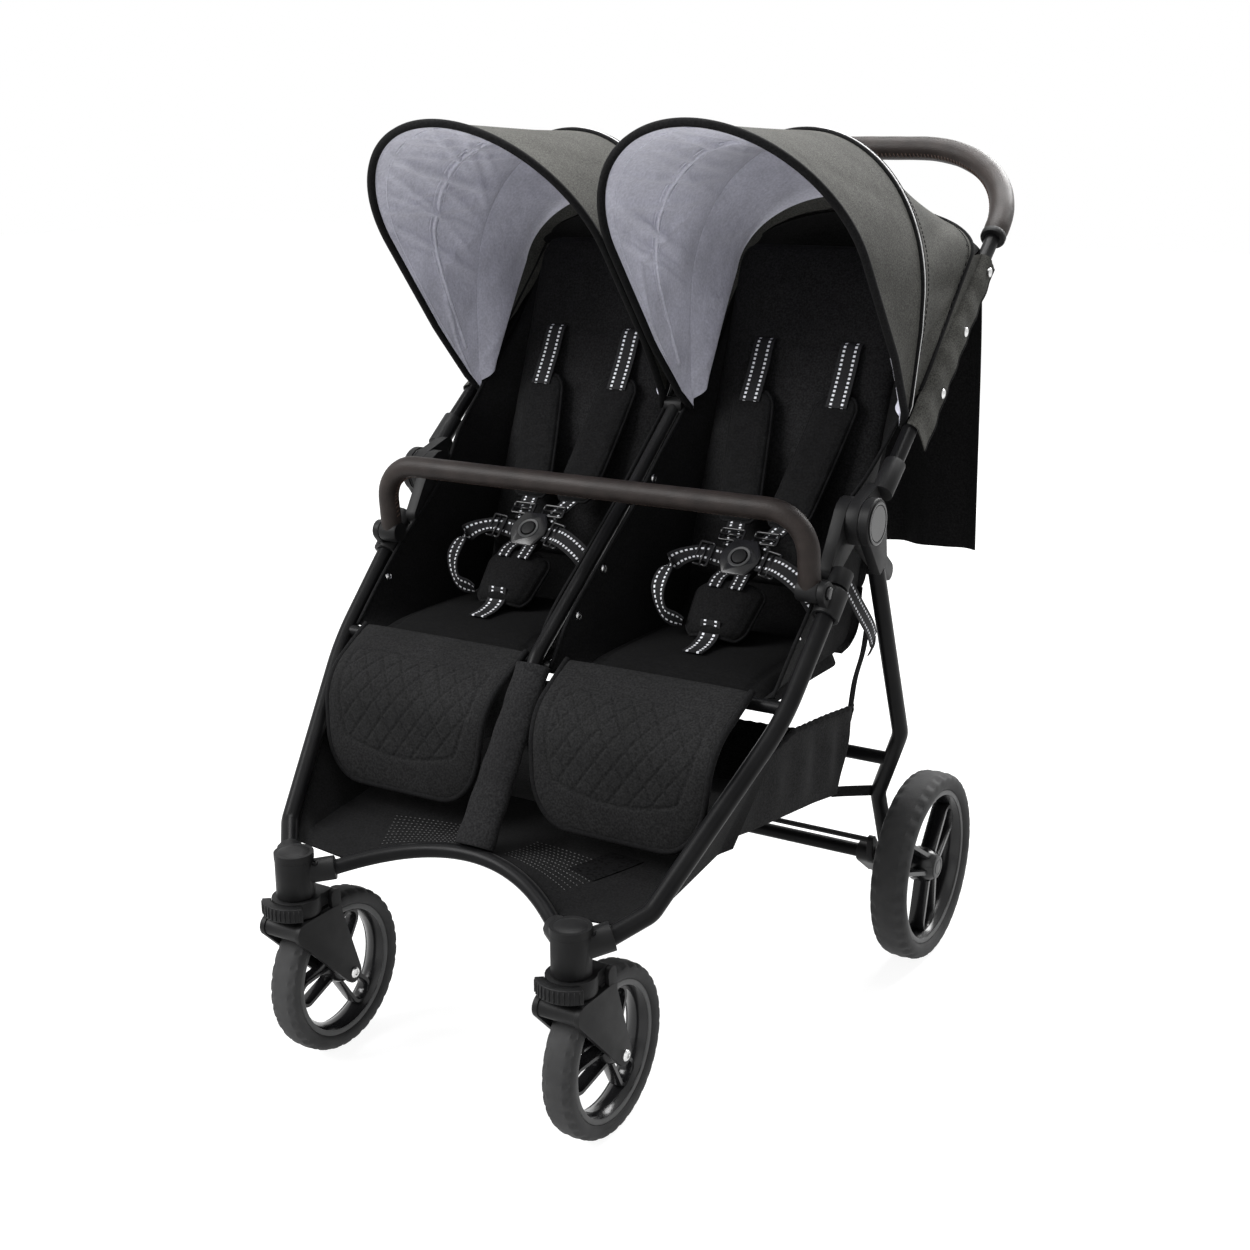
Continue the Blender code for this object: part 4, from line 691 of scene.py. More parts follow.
# Hinges, brackets, casters and forks: the solids' shapes with eased edges, under turned caps and rings.
# They are black plastic, held by screws and bright steel axle bolts.
HINGE_FACE = 0.3415
CAP_TOP = 0.2795
LOCK_FOOT = 0.2065
LOCK_RADIUS = 0.0403
LOCK_RISE = np.array([0, 0, 0.0142])
FORK_HALF = 0.0300
SCREW_WAY = np.array([0, -0.55, 0.83])
STEEL = plastic("bright steel", (0.55, 0.55, 0.55), (0.72, 0.72, 0.71), 0.26, 900, 0.0001)
STEEL.node_tree.nodes["Principled BSDF"].inputs["Metallic"].default_value = 1.0
HINGE_CAPS = (
    ("disc", 56, BLACK_PLASTIC, "black_plastic",
     [(0.0, 0.0), (0.0292, 0.0), (0.0302, -0.0012), (0.0302, -0.010), (0.027, -0.012), (0.0, -0.012)]),
    ("ring", 56, GLOSS_BLACK, "gloss_plastic",
     [(0.0262, 0.0), (0.0262, 0.0011), (0.0254, 0.0015), (0.0234, 0.0015), (0.0226, 0.0011), (0.0226, 0.0),
      (0.0262, 0.0)]),
    ("inset", 48, GLOSS_BLACK, "gloss_plastic",
     [(0.0, 0.0012), (0.0215, 0.0012), (0.0218, 0.0004), (0.0218, -0.001), (0.0, -0.001)]))


def bolt(parts, place, way, radius, height):
    """A domed head with a socket, turned about its own axis."""
    dome = [(0.0, -0.001), (radius, -0.001), (radius, 0.35 * height), (0.82 * radius, 0.8 * height),
            (0.45 * radius, height), (0.42 * radius, 0.55 * height), (0.0, 0.55 * height)]
    parts.append(lathe(dome, place, way, 24))


for name, side in SIDES:
    for node in ("front_hinge_arm", "handle_hinge_arm", "leg_hinge_plate", "bar_clamp", "caster_bracket",
                 "caster_stem"):
        refined(f"{node}_{name}", BLACK_PLASTIC, 0.0014)
    refined(f"front_fork_{name}", BLACK_PLASTIC, 0.002, 3)
    refined(f"swivel_lock_{name}", BLACK_PLASTIC, 0.0012)
    refined(f"bar_button_{name}", GLOSS_BLACK, 0.0008)
    for label, steps, material, slot, profile in HINGE_CAPS:
        turned = lathe(profile, at(side * HINGE_FACE, *HINGE), (side, 0, 0), steps)
        make(f"hinge_{label}_{name}", *turned, material, "rear_frame", slot, sharp=35)
    cap_place = at(side * FRONT_X, 0, CAP_TOP)
    cap = lathe([(0.0, 0.0), (0.0236, 0.0), (0.0236, -0.008), (0.0228, -0.0085), (0.0, -0.0085)],
                cap_place, (0, 0, 1), 48)
    dome = lathe([(0.0, 0.0026), (0.008, 0.0025), (0.0155, 0.0018), (0.019, 0.0), (0.0, -0.001)],
                 cap_place, (0, 0, 1), 40)
    make(f"caster_cap_{name}", *merged([cap, dome]), BLACK_PLASTIC, "chassis", "black_plastic", sharp=35)
    ribs = []
    for turn in np.linspace(-46, 46, 12):
        a = math.radians(turn - 90)
        radial = np.array([math.cos(a), math.sin(a), 0])
        rib_foot = at(side * FRONT_X, 0, LOCK_FOOT) + radial * LOCK_RADIUS
        ribs.append(tube(np.array([rib_foot, rib_foot + LOCK_RISE]), 0.0009, 8))
    make(f"swivel_lock_ribs_{name}", *merged(ribs), BLACK_PLASTIC, f"{name}_lock", "black_plastic")
    steel = []
    for face_side in (-1, 1):
        place = at(side * FRONT_X + face_side * FORK_HALF, *FRONT_AXLE)
        bolt(steel, place, (face_side, 0, 0), 0.0068, 0.0034)
    make(f"front_axle_bolts_{name}", *merged(steel), STEEL, f"{name}_fork", "gloss_plastic", sharp=35)
    screws = []
    for x, y, z, reach in ((0.2155, 0.0185, 0.259, 0.0162), (0.170, 0.0165, 0.2545, 0.0142)):
        bolt(screws, at(side * x, y, z) + SCREW_WAY * reach, SCREW_WAY, 0.0042, 0.0018)
    make(f"bracket_screws_{name}", *merged(screws), BLACK_TUBE, "chassis", "frame_tube", sharp=35)

# Seat pads and backrests: crowned black cloth pads with sewn lines across them.
# The backrest has a sunk middle panel between two padded sides, and hinges on the back tube.
SEAT_X = 0.158
SEAT_HALF = 0.128
SEAT_MIDDLE = 0.3855
SEAT_HALF_DEPTH = 0.1145
SEAT_BOTTOM = 0.4585
SEAT_THICK = 0.031
BACK_PIVOT = (0.566, 0.560)
BACK_LEAN = math.radians(69.5)
BACK_MIDDLE = 0.185
BACK_HALF_LENGTH = 0.225
BACK_LIFT = 0.0115
BACK_THICK = 0.025


def two_sided(rows, columns):
    """Faces of a top grid, of the same grid below it turned over, and of a strip round their edges."""
    count = rows * columns
    faces = grid_faces(rows, columns)
    faces += [[count + k for k in face][::-1] for face in faces]
    index = np.arange(count).reshape(rows, columns)
    edge = np.concatenate([index[0], index[1:, -1], index[-1, -2::-1], index[-2:0:-1, 0]])
    ahead = np.roll(edge, -1)
    return faces + np.stack([edge, ahead, count + ahead, count + edge], 1).tolist()


def pillow(middle, up, thickness, edge, low=0.0):
    """A crowned closed pad on a grid of middle points: it thins to a seam all round.
    low is the share of the thickness below the middle grid."""
    rows, columns = middle.shape[:2]
    u = np.linspace(-1, 1, rows)[:, None]
    v = np.linspace(-1, 1, columns)[None, :]
    swell = ((1 - np.abs(u) ** 4) * (1 - np.abs(v) ** 4)).clip(0) ** (1 / edge)
    height = np.asarray(thickness) * swell
    top = middle + up * ((1 - low) * height)[..., None]
    bottom = middle - up * (low * height)[..., None]
    return top, bottom


def pad_piece(name, top, bottom, material, body, slot):
    """A padded piece from its top and bottom grids, which meet along their edges."""
    rows, columns = top.shape[:2]
    verts = np.concatenate([top.reshape(-1, 3), bottom.reshape(-1, 3)])
    u = np.linspace(0, 1, rows)[:, None] * np.linalg.norm(top[-1, columns // 2] - top[0, columns // 2])
    v = np.linspace(0, 1, columns)[None, :] * np.linalg.norm(top[rows // 2, -1] - top[rows // 2, 0])
    uv = np.stack(np.broadcast_arrays(u, v), -1).reshape(-1, 2)
    faces = two_sided(rows, columns)
    piece = make(name, verts, faces, material, body, slot, np.vstack([uv, uv]), sharp=60)
    return piece


# The seat pads' cloth is the black seat cloth made darker: painted shade on the pads' up-facing tops.
SEAT_SHADE_CLOTH = cloth("black seat cloth with painted shade", (0.0016, 0.0016, 0.0017), (0.0048, 0.0048, 0.005), folds=11)
BACK_CLOTH = cloth("black backrest cloth", (0.0052, 0.0052, 0.0055), (0.0155, 0.0155, 0.016), folds=11)


def back_at(x, reach, lift):
    """A place by its reach up the backrest from its pivot and its lift off the backrest's line."""
    c, s = math.cos(BACK_LEAN), math.sin(BACK_LEAN)
    return at(x, BACK_PIVOT[0] + reach * c - lift * s, BACK_PIVOT[1] + reach * s + lift * c)


def sewn(value, lines, width):
    """A dent of depth one along each line of a coordinate."""
    value = np.asarray(value)
    return sum(np.exp(-((value - line) / width) ** 2) for line in lines)


for name, side in SIDES:
    u = np.linspace(-1, 1, 61)[:, None]
    v = np.linspace(-1, 1, 57)[None, :]
    corner = np.clip((v - 0.62) / 0.38, 0, 1)
    wide = SEAT_HALF * (1 - 0.02 * (1 - v ** 2)) - 0.040 * (1 - np.sqrt(1 - corner ** 2))
    y = SEAT_MIDDLE + SEAT_HALF_DEPTH * v + CASTER_Y
    middle = np.stack(np.broadcast_arrays(SEAT_X * side + u * wide, y, SEAT_BOTTOM), -1)
    top, bottom = pillow(middle, np.array([0, 0, 1.0]), SEAT_THICK, 2.2)
    seams = 0.0022 * sewn(np.abs(u) + 0 * v, (0.80,), 0.03) + 0.0016 * sewn(v + 0 * u, (-0.78,), 0.03)
    top[..., 2] -= seams
    piece = pad_piece(f"seat_cushion_{name}", top, bottom, SEAT_SHADE_CLOTH, "chassis", "seat_cloth")
    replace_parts(piece, f"seat_pad_{name}")
    v = np.linspace(-1, 1, 91)[None, :]
    reach = BACK_MIDDLE + BACK_HALF_LENGTH * v
    corner = np.clip((np.abs(v) - 0.86) / 0.14, 0, 1)
    wide = SEAT_HALF * (1 - 0.03 * (1 - v ** 2)) - 0.022 * (1 - np.sqrt(1 - corner ** 2))
    y = BACK_PIVOT[0] + reach * math.cos(BACK_LEAN) - BACK_LIFT * math.sin(BACK_LEAN) + CASTER_Y
    z = BACK_PIVOT[1] + reach * math.sin(BACK_LEAN) + BACK_LIFT * math.cos(BACK_LEAN)
    base = np.stack(np.broadcast_arrays(SEAT_X * side + wide * u, y, z), -1)
    up = np.array([0, -math.sin(BACK_LEAN), math.cos(BACK_LEAN)])
    inside_u = 0.5 + 0.5 * np.tanh((0.52 - np.abs(u)) / 0.05)
    sunk = 0.006 * inside_u * (0.5 + 0.5 * np.tanh((0.7 - np.abs(v)) / 0.05))
    ruck = 0.0015 * np.sin(9 * v + 3 * np.sin(4 * u)) * (1 - np.abs(u)) + 0.001 * np.sin(23 * v + 5 * u)
    thick = BACK_THICK - sunk - 0.003 * sewn(np.abs(u) + 0 * v, (0.58,), 0.02) + ruck
    thick = thick - 0.0035 * sewn(v + 0 * u, (0.40,), 0.014) - 0.002 * sewn(v + 0 * u, (-0.35, 0.02), 0.012)
    top, bottom = pillow(base, up, thick + 0.006, 2.2, 0.12)
    piece = pad_piece(f"back_cushion_{name}", top, bottom, BACK_CLOTH, f"{name}_back", "seat_cloth")
    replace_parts(piece, f"backrest_{name}")

# Side panels: black cloth walls beside each seat, from the frame tubes in to the seat and backrest.
# Their front edges are bound, and silver snaps close them on the frame.
# Cloth gussets close the gap behind each seat, and a sleeve of cloth covers the centre strut.
WALL_THICK = 0.0022
WALL_SAG = (0, 0.004, -0.004)
WALL_SPLIT = 0.462
OUTER_EDGE = ((0.300, 0.262, 0.478), (0.301, 0.31, 0.524), (0.301, 0.36, 0.568), (0.2925, 0.42, 0.624),
              (0.2925, 0.455, 0.656), (0.305, 0.50, 0.695), (0.311, 0.556, 0.739), (0.313, 0.605, 0.779),
              (0.313, 0.66, 0.822))
INNER_EDGE = ((0.0135, 0.240, 0.474), (0.0135, 0.285, 0.528), (0.0135, 0.36, 0.583), (0.0145, 0.43, 0.632),
              (0.0145, 0.455, 0.653), (0.0140, 0.50, 0.690), (0.0145, 0.556, 0.735), (0.0145, 0.605, 0.775),
              (0.0145, 0.66, 0.818))


def smooth_path(points, count):
    """A smooth curve through the points (Catmull-Rom), read at even steps of length."""
    p = np.asarray(points, float)
    p = np.vstack([2 * p[0] - p[1], p, 2 * p[-1] - p[-2]])
    fine = []
    for a, b, c, d in zip(p, p[1:], p[2:], p[3:]):
        t = np.linspace(0, 1, 24, endpoint=False)[:, None]
        fine.append(0.5 * (2 * b + (c - a) * t + (2 * a - 5 * b + 4 * c - d) * t ** 2
                           + (3 * b - a - 3 * c + d) * t ** 3))
    fine = np.vstack(fine + [p[-2][None]])
    return even(fine, count)


def grid_normals(grid):
    """The cross product of the steps down and across the grid, made one long."""
    du = np.gradient(grid, axis=0)
    dv = np.gradient(grid, axis=1)
    return unit(np.cross(du, dv))


def shell(grid, thickness):
    """A grid moved half the thickness both ways along its normals, with UVs in metres along the cloth."""
    rows, columns = grid.shape[:2]
    lift = grid_normals(grid) * thickness / 2
    verts = np.concatenate([(grid + lift).reshape(-1, 3), (grid - lift).reshape(-1, 3)])
    u = np.zeros((rows, columns))
    v = np.zeros((rows, columns))
    u[1:] = np.cumsum(np.linalg.norm(np.diff(grid, axis=0), axis=2), axis=0)
    v[:, 1:] = np.cumsum(np.linalg.norm(np.diff(grid, axis=1), axis=2), axis=1)
    uv = np.stack([u, v], -1).reshape(-1, 2)
    return verts, two_sided(rows, columns), np.vstack([uv, uv])


def cloth_piece(name, grid, thickness, material, body, slot):
    """A sheet of cloth: the grid made into a shell of the given thickness.
    A sheet of cloth, declared with its longest runs and its area, which is
    taken as LEAST_AREA of the two runs' product or more.
    """
    verts, faces, uv = shell(grid, thickness)
    piece = make(name, verts, faces, material, body, slot, uv, sharp=50)
    return piece


SEAT_CLOTH = cloth("black seat cloth", (0.0028, 0.0028, 0.003), (0.0085, 0.0085, 0.0088), folds=11)
BINDING = cloth("black binding tape", (0.0035, 0.0035, 0.0037), (0.009, 0.009, 0.0095),
                folds=30, fold_depth=0.001)


def on_side(side, points):
    """Points of one edge, mirrored to the side asked for."""
    return [at(side * x, y, z) for x, y, z in points]


def folds_away(piece):
    """Gives the cloth its own copy of its mesh."""
    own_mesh(piece)


def lies_flat(piece):
    """Gives the cloth its own copy of its mesh."""
    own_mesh(piece)


def cloth_wall(name, frame_line, seat_line):
    """Cloth ruled between two edges. Past the hinge it rides on the handle."""
    top = smooth_path(frame_line, 60)
    low = smooth_path(seat_line, 60)
    share = np.linspace(0, 1, 22)[None, :, None]
    grid = top[:, None] * (1 - share) + low[:, None] * share
    length = np.linspace(0, 1, 60)[:, None]
    bow_in = np.sin(np.pi * share[..., 0]) * (1 + 0.3 * np.sin(19 * length) + 0.2 * np.sin(31 * length + 2))
    grid = grid + np.array(WALL_SAG) * (bow_in * np.sin(np.pi * length) ** 0.5)[..., None]
    hinge_row = int(np.argmin(np.abs(top[:, 1] - WALL_SPLIT - CASTER_Y)))
    for label, rows, body, fold in ((name, slice(0, hinge_row + 1), "chassis", lies_flat),
                                    (name + "_rear", slice(hinge_row, 60), "handle", folds_away)):
        fold(cloth_piece(label, grid[rows], WALL_THICK, SEAT_CLOTH, body, "seat_cloth"))
        fold(make(label + "_binding", *tube(top[rows], 0.0026, 8), BINDING, body, "seat_cloth"))


def snap(parts, place, way, radius=0.0052):
    """A pressed steel snap: a rolled rim round a dished face."""
    rim = [(0.0, -0.001), (radius, -0.001), (radius * 1.02, 0.0008), (radius * 0.9, 0.0016),
           (radius * 0.7, 0.0012), (radius * 0.5, 0.0019), (0.0, 0.0022)]
    parts.append(lathe(rim, place, way, 28))


for name, side in SIDES:
    for label, points, edge in (("outer", OUTER_EDGE, 0.2775), ("inner", INNER_EDGE, 0.0385)):
        x = side * edge
        seat_line = [at(x, 0.277, 0.466), at(x, 0.36, 0.470), at(x, 0.45, 0.470), at(x, 0.515, 0.486),
                     back_at(x, 0.0, 0.018), back_at(x, 0.12, 0.016), back_at(x, 0.21, 0.016),
                     back_at(x, 0.30, 0.015), back_at(x, 0.385, 0.013)]
        cloth_wall(f"side_wall_{label}_{name}", on_side(side, points), seat_line)
    studs = []
    snap(studs, at(side * 0.2988, 0.326, 0.528), (-side * 0.9, 0, 0.43))
    for y, z in ((0.357, 0.5715), (0.298, 0.525), (0.480, 0.664)):
        snap(studs, at(side * 0.0170, y, z), (side, 0, 0.1))
    lies_flat(make(f"side_wall_snaps_{name}", *merged(studs), STEEL, "chassis", "gloss_plastic", sharp=35))
for name, side in SIDES:
    line = smooth_path([at(0, 0.484, 0.470), at(0, 0.512, 0.475), at(0, 0.534, 0.494),
                        back_at(0, -0.026, 0.016)], 20)
    width = np.linspace(0.031, 0.285, 40)[:, None] * side
    gusset = np.stack(np.broadcast_arrays(width, line[None, :, 1], line[None, :, 2]), -1)
    gusset[..., 2] += 0.002 * np.sin(width * 90) * np.sin(np.linspace(0, np.pi, 20))[None, :]
    lies_flat(cloth_piece(f"seat_back_gusset_{name}", gusset, 0.0018, SEAT_CLOTH, "chassis", "seat_cloth"))
cover = even(centre_path, 200)
cover = cover[(cover[:, 2] > 0.291) & (cover[:, 2] < 0.480)]
ripple = 0.0006 * np.sin(np.arange(len(cover)) * 0.35)
flare = 0.0235 + 0.0035 * np.linspace(1, 0, len(cover)) ** 2 + ripple
make("centre_strut_cover", *tube(cover, flare, 28, (1, 0, 0), 0.44), BACK_CLOTH, "chassis", "pad_cloth")

# Leg rests: charcoal pads that roll over the seat's front edge, with a bound rim and a quilted panel.
# The quilting is a grid of diamonds sewn into the lower part of the front face.
PAD_CLOTH = cloth("charcoal pad cloth", (0.0058, 0.0058, 0.006), (0.0162, 0.0162, 0.0165),
                  folds=18, fold_depth=0.002)
LEG_REST_X = 0.154
LEG_REST_HALF = 0.124
LEG_REST_THICK = 0.0138
QUILT_PITCH = 0.027
PANEL_TOP = 0.048
PANEL_FOOT = 0.042
leg_line = rounded([at(0, 0.2526, 0.4848), at(0, 0.166, 0.4385), at(0, 0.1535, 0.313)], (0.07,), 24)
leg_line = even(leg_line, 181)
leg_length = run_length(leg_line)
leg_way = unit(np.gradient(leg_line, axis=0))
leg_out = np.stack([np.zeros(181), leg_way[:, 2], -leg_way[:, 1]], 1)
for name, side in SIDES:
    u = np.linspace(-1, 1, 131)[:, None]
    distance = np.linspace(0, leg_length, 181)[None, :]
    low = np.clip((distance - (leg_length - 0.060)) / 0.060, 0, 1)
    half = (LEG_REST_HALF - 0.046 * (1 - np.sqrt(np.clip(1 - low ** 2.2, 0, 1)))
            - 0.016 * (distance / leg_length) ** 1.5)
    x = LEG_REST_X * side + u * half
    base = leg_line[None] + np.zeros((131, 1, 1))
    base = np.stack([x, base[..., 1], base[..., 2]], -1)
    out = np.broadcast_to(leg_out[None], base.shape)
    base = base - out * 0.004
    across = u * 0.118
    rise = leg_length - distance + 0 * u
    first = np.abs((across + 0.75 * rise) / QUILT_PITCH % 1.0 - 0.5)
    second = np.abs((across - 0.75 * rise) / QUILT_PITCH % 1.0 - 0.5)
    quilt = np.exp(-(np.minimum(first, second) / 0.055) ** 2)
    panel_half = 0.84 - 0.16 * np.clip((distance - 0.09) / (leg_length - 0.13), 0, 1) ** 1.5
    panel_end = leg_length - PANEL_FOOT - 0.014 * (u / 0.7) ** 2
    inside_u = 0.5 + 0.5 * np.tanh((panel_half - np.abs(u)) / 0.012)
    inside_top = 0.5 + 0.5 * np.tanh((distance - PANEL_TOP) / 0.0015)
    inside_end = 0.5 + 0.5 * np.tanh((panel_end - distance) / 0.0015)
    outline = (np.exp(-((panel_half - np.abs(u)) / 0.020) ** 2) * inside_top * inside_end
               + np.exp(-((distance - PANEL_TOP) / 0.0026) ** 2) * inside_u
               + np.exp(-((panel_end - distance) / 0.0026) ** 2) * inside_u)
    dents = np.clip(quilt * inside_u * inside_top * inside_end + outline, 0, 1)
    thick = LEG_REST_THICK - 0.0026 * dents - 0.0014 * sewn(distance + 0 * u, (0.020,), 0.003)
    top, bottom = pillow(base, out, thick, 5.0, 0.3)
    piece = pad_piece(f"leg_rest_pad_{name}", top, bottom, PAD_CLOTH, f"{name}_leg_rest", "pad_cloth")
    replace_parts(piece, f"leg_rest_{name}")
    rim = np.concatenate([base[0], base[1:, -1], base[-1, -2::-1]])
    rim = rim + np.concatenate([out[0], out[1:, -1], out[-1, -2::-1]]) * 0.003
    tape = tube(even(rim, 200), 0.0042, 12)
    make(f"leg_rest_binding_{name}", *tape, BINDING, f"{name}_leg_rest", "pad_cloth")

# Canopies: one curved charcoal sheet over each seat from rim to rear edge, split at the middle bow,
# with a pale lining inside, black bound rims and a pale grey line at the bow, a painted highlight on its
# black piping. The rear part wraps the handle.
CANOPY_X = 0.170
CANOPY_FOOT = 0.1555
CANOPY_THICK = 0.0022
LINING_THICK = 0.0012
CANOPY_PIVOT = (0.56816, 0.74633)
# Each bow: its tilt, its height, the height of its straight sides, its half width and where it starts.
RIM_BOW = (0.672, 0.456, 0.265, 0.1645, -0.004)
MID_BOW = (-0.08, 0.347, 0.150, 0.1625, 0.010)
REAR_BOW = (-0.784, 0.345, 0.270, 0.1555, 0.050)
# Each pull in the cloth: its place along the bow, its slant and its width.
FRONT_PULLS = ((0.2, 0.1, 0.02), (0.34, -0.06, 0.015), (0.5, 0.04, 0.02), (0.63, 0.08, 0.018),
               (0.8, -0.1, 0.02))
REAR_PULLS = ((0.12, 0.05, 0.02), (0.2, -0.06, 0.015), (0.3, 0.1, 0.02), (0.45, 0.05, 0.02),
              (0.6, -0.05, 0.02), (0.72, 0.06, 0.016), (0.84, -0.04, 0.016), (0.9, 0.05, 0.014))
LINING_PULLS = ((0.06, 0.05, 0.010), (0.13, -0.04, 0.010), (0.22, 0.1, 0.015), (0.30, -0.05, 0.012),
                (0.36, 0.06, 0.008), (0.42, 0.08, 0.010), (0.47, -0.06, 0.008), (0.52, -0.04, 0.010),
                (0.58, 0.05, 0.008), (0.64, 0.05, 0.012), (0.70, -0.05, 0.008), (0.76, -0.08, 0.012),
                (0.82, 0.05, 0.01), (0.88, 0.04, 0.012), (0.94, -0.03, 0.010))
CANOPY_CLOTH = cloth("charcoal heather canopy", (0.028, 0.028, 0.0255), (0.074, 0.073, 0.067), folds=9,
                     fold_depth=0.009, grain=520, crumple=0.0016)
LINING = cloth("lavender grey lining", (0.50, 0.50, 0.575), (0.63, 0.63, 0.715), roughness=0.7, folds=12,
               fold_depth=0.012, grain=300, sheen=0.3, crumple=0.005)
# The piping's pale grey colour is a painted highlight: it stands for the line of light along black piping.
HIGHLIGHT_PIPING = cloth("pale grey piping as painted highlight", (0.5, 0.5, 0.5), (0.68, 0.68, 0.68), roughness=0.5, folds=30)
rng = np.random.default_rng(7)


def bow(tilt, height, straight, half, base, side, inset=0.0, count=95):
    """Points of one bow: sides that spread from the pivot, then half an ellipse, in a tilted plane."""
    rise = np.linspace(base, straight, 21)[:-1]
    turn = np.linspace(0, np.pi, count - 40)
    across = np.concatenate([np.ones(20), np.cos(turn), -np.ones(20)])
    up = np.concatenate([rise, straight + (height - inset - straight) * np.sin(turn), rise[::-1]])
    spread = np.clip((up - 0.014) / 0.10, 0, 1)
    tuck = np.clip((0.022 - up) / 0.03, 0, 1)
    wide = CANOPY_FOOT + (half - CANOPY_FOOT) * spread - 0.0085 * tuck - inset
    x = side * (CANOPY_X + wide * across)
    y = CANOPY_PIVOT[0] - up * math.sin(tilt) + CASTER_Y
    z = CANOPY_PIVOT[1] + up * math.cos(tilt)
    return np.stack([x, y, z], -1)


def canopy_grid(first, last, rows, side, inset=0.0, sag=0.0, ends=(0.0, 1.0)):
    """Cloth stretched from one bow to the next, drawn in a little between them."""
    share = np.linspace(*ends, rows)[:, None, None]
    grid = bow(*first, side, inset) * (1 - share) + bow(*last, side, inset) * share
    centre = at(side * CANOPY_X, *CANOPY_PIVOT)
    away = unit(grid - centre)
    return grid - away * sag * np.sin(np.pi * share)


def creases(grid, depth, lines, side):
    """Soft pulls in the cloth that run from bow to bow, always drawn towards the inside."""
    rows, columns = grid.shape[:2]
    share = np.linspace(0, 1, rows)[:, None]
    along = np.linspace(0, 1, columns)[None, :]
    wave = np.zeros((rows, columns))
    for place, slant, width in lines:
        wave += np.exp(-((along - place - slant * (share - 0.5)) / width) ** 2)
    taper = np.sin(np.pi * share) ** 0.7
    normals = grid_normals(grid)
    middle = at(side * CANOPY_X, *CANOPY_PIVOT)
    outward = np.sign(np.sum(normals * (grid - middle), 2).mean())
    return grid - outward * normals * (depth * wave * taper)[..., None]


def canopy_sheet(label, grid, thickness, material, body):
    """One stretched sheet of a canopy, given its own mesh."""
    piece = cloth_piece(label, grid, thickness, material, body, "canopy_cloth")
    folds_away(piece)
    return piece


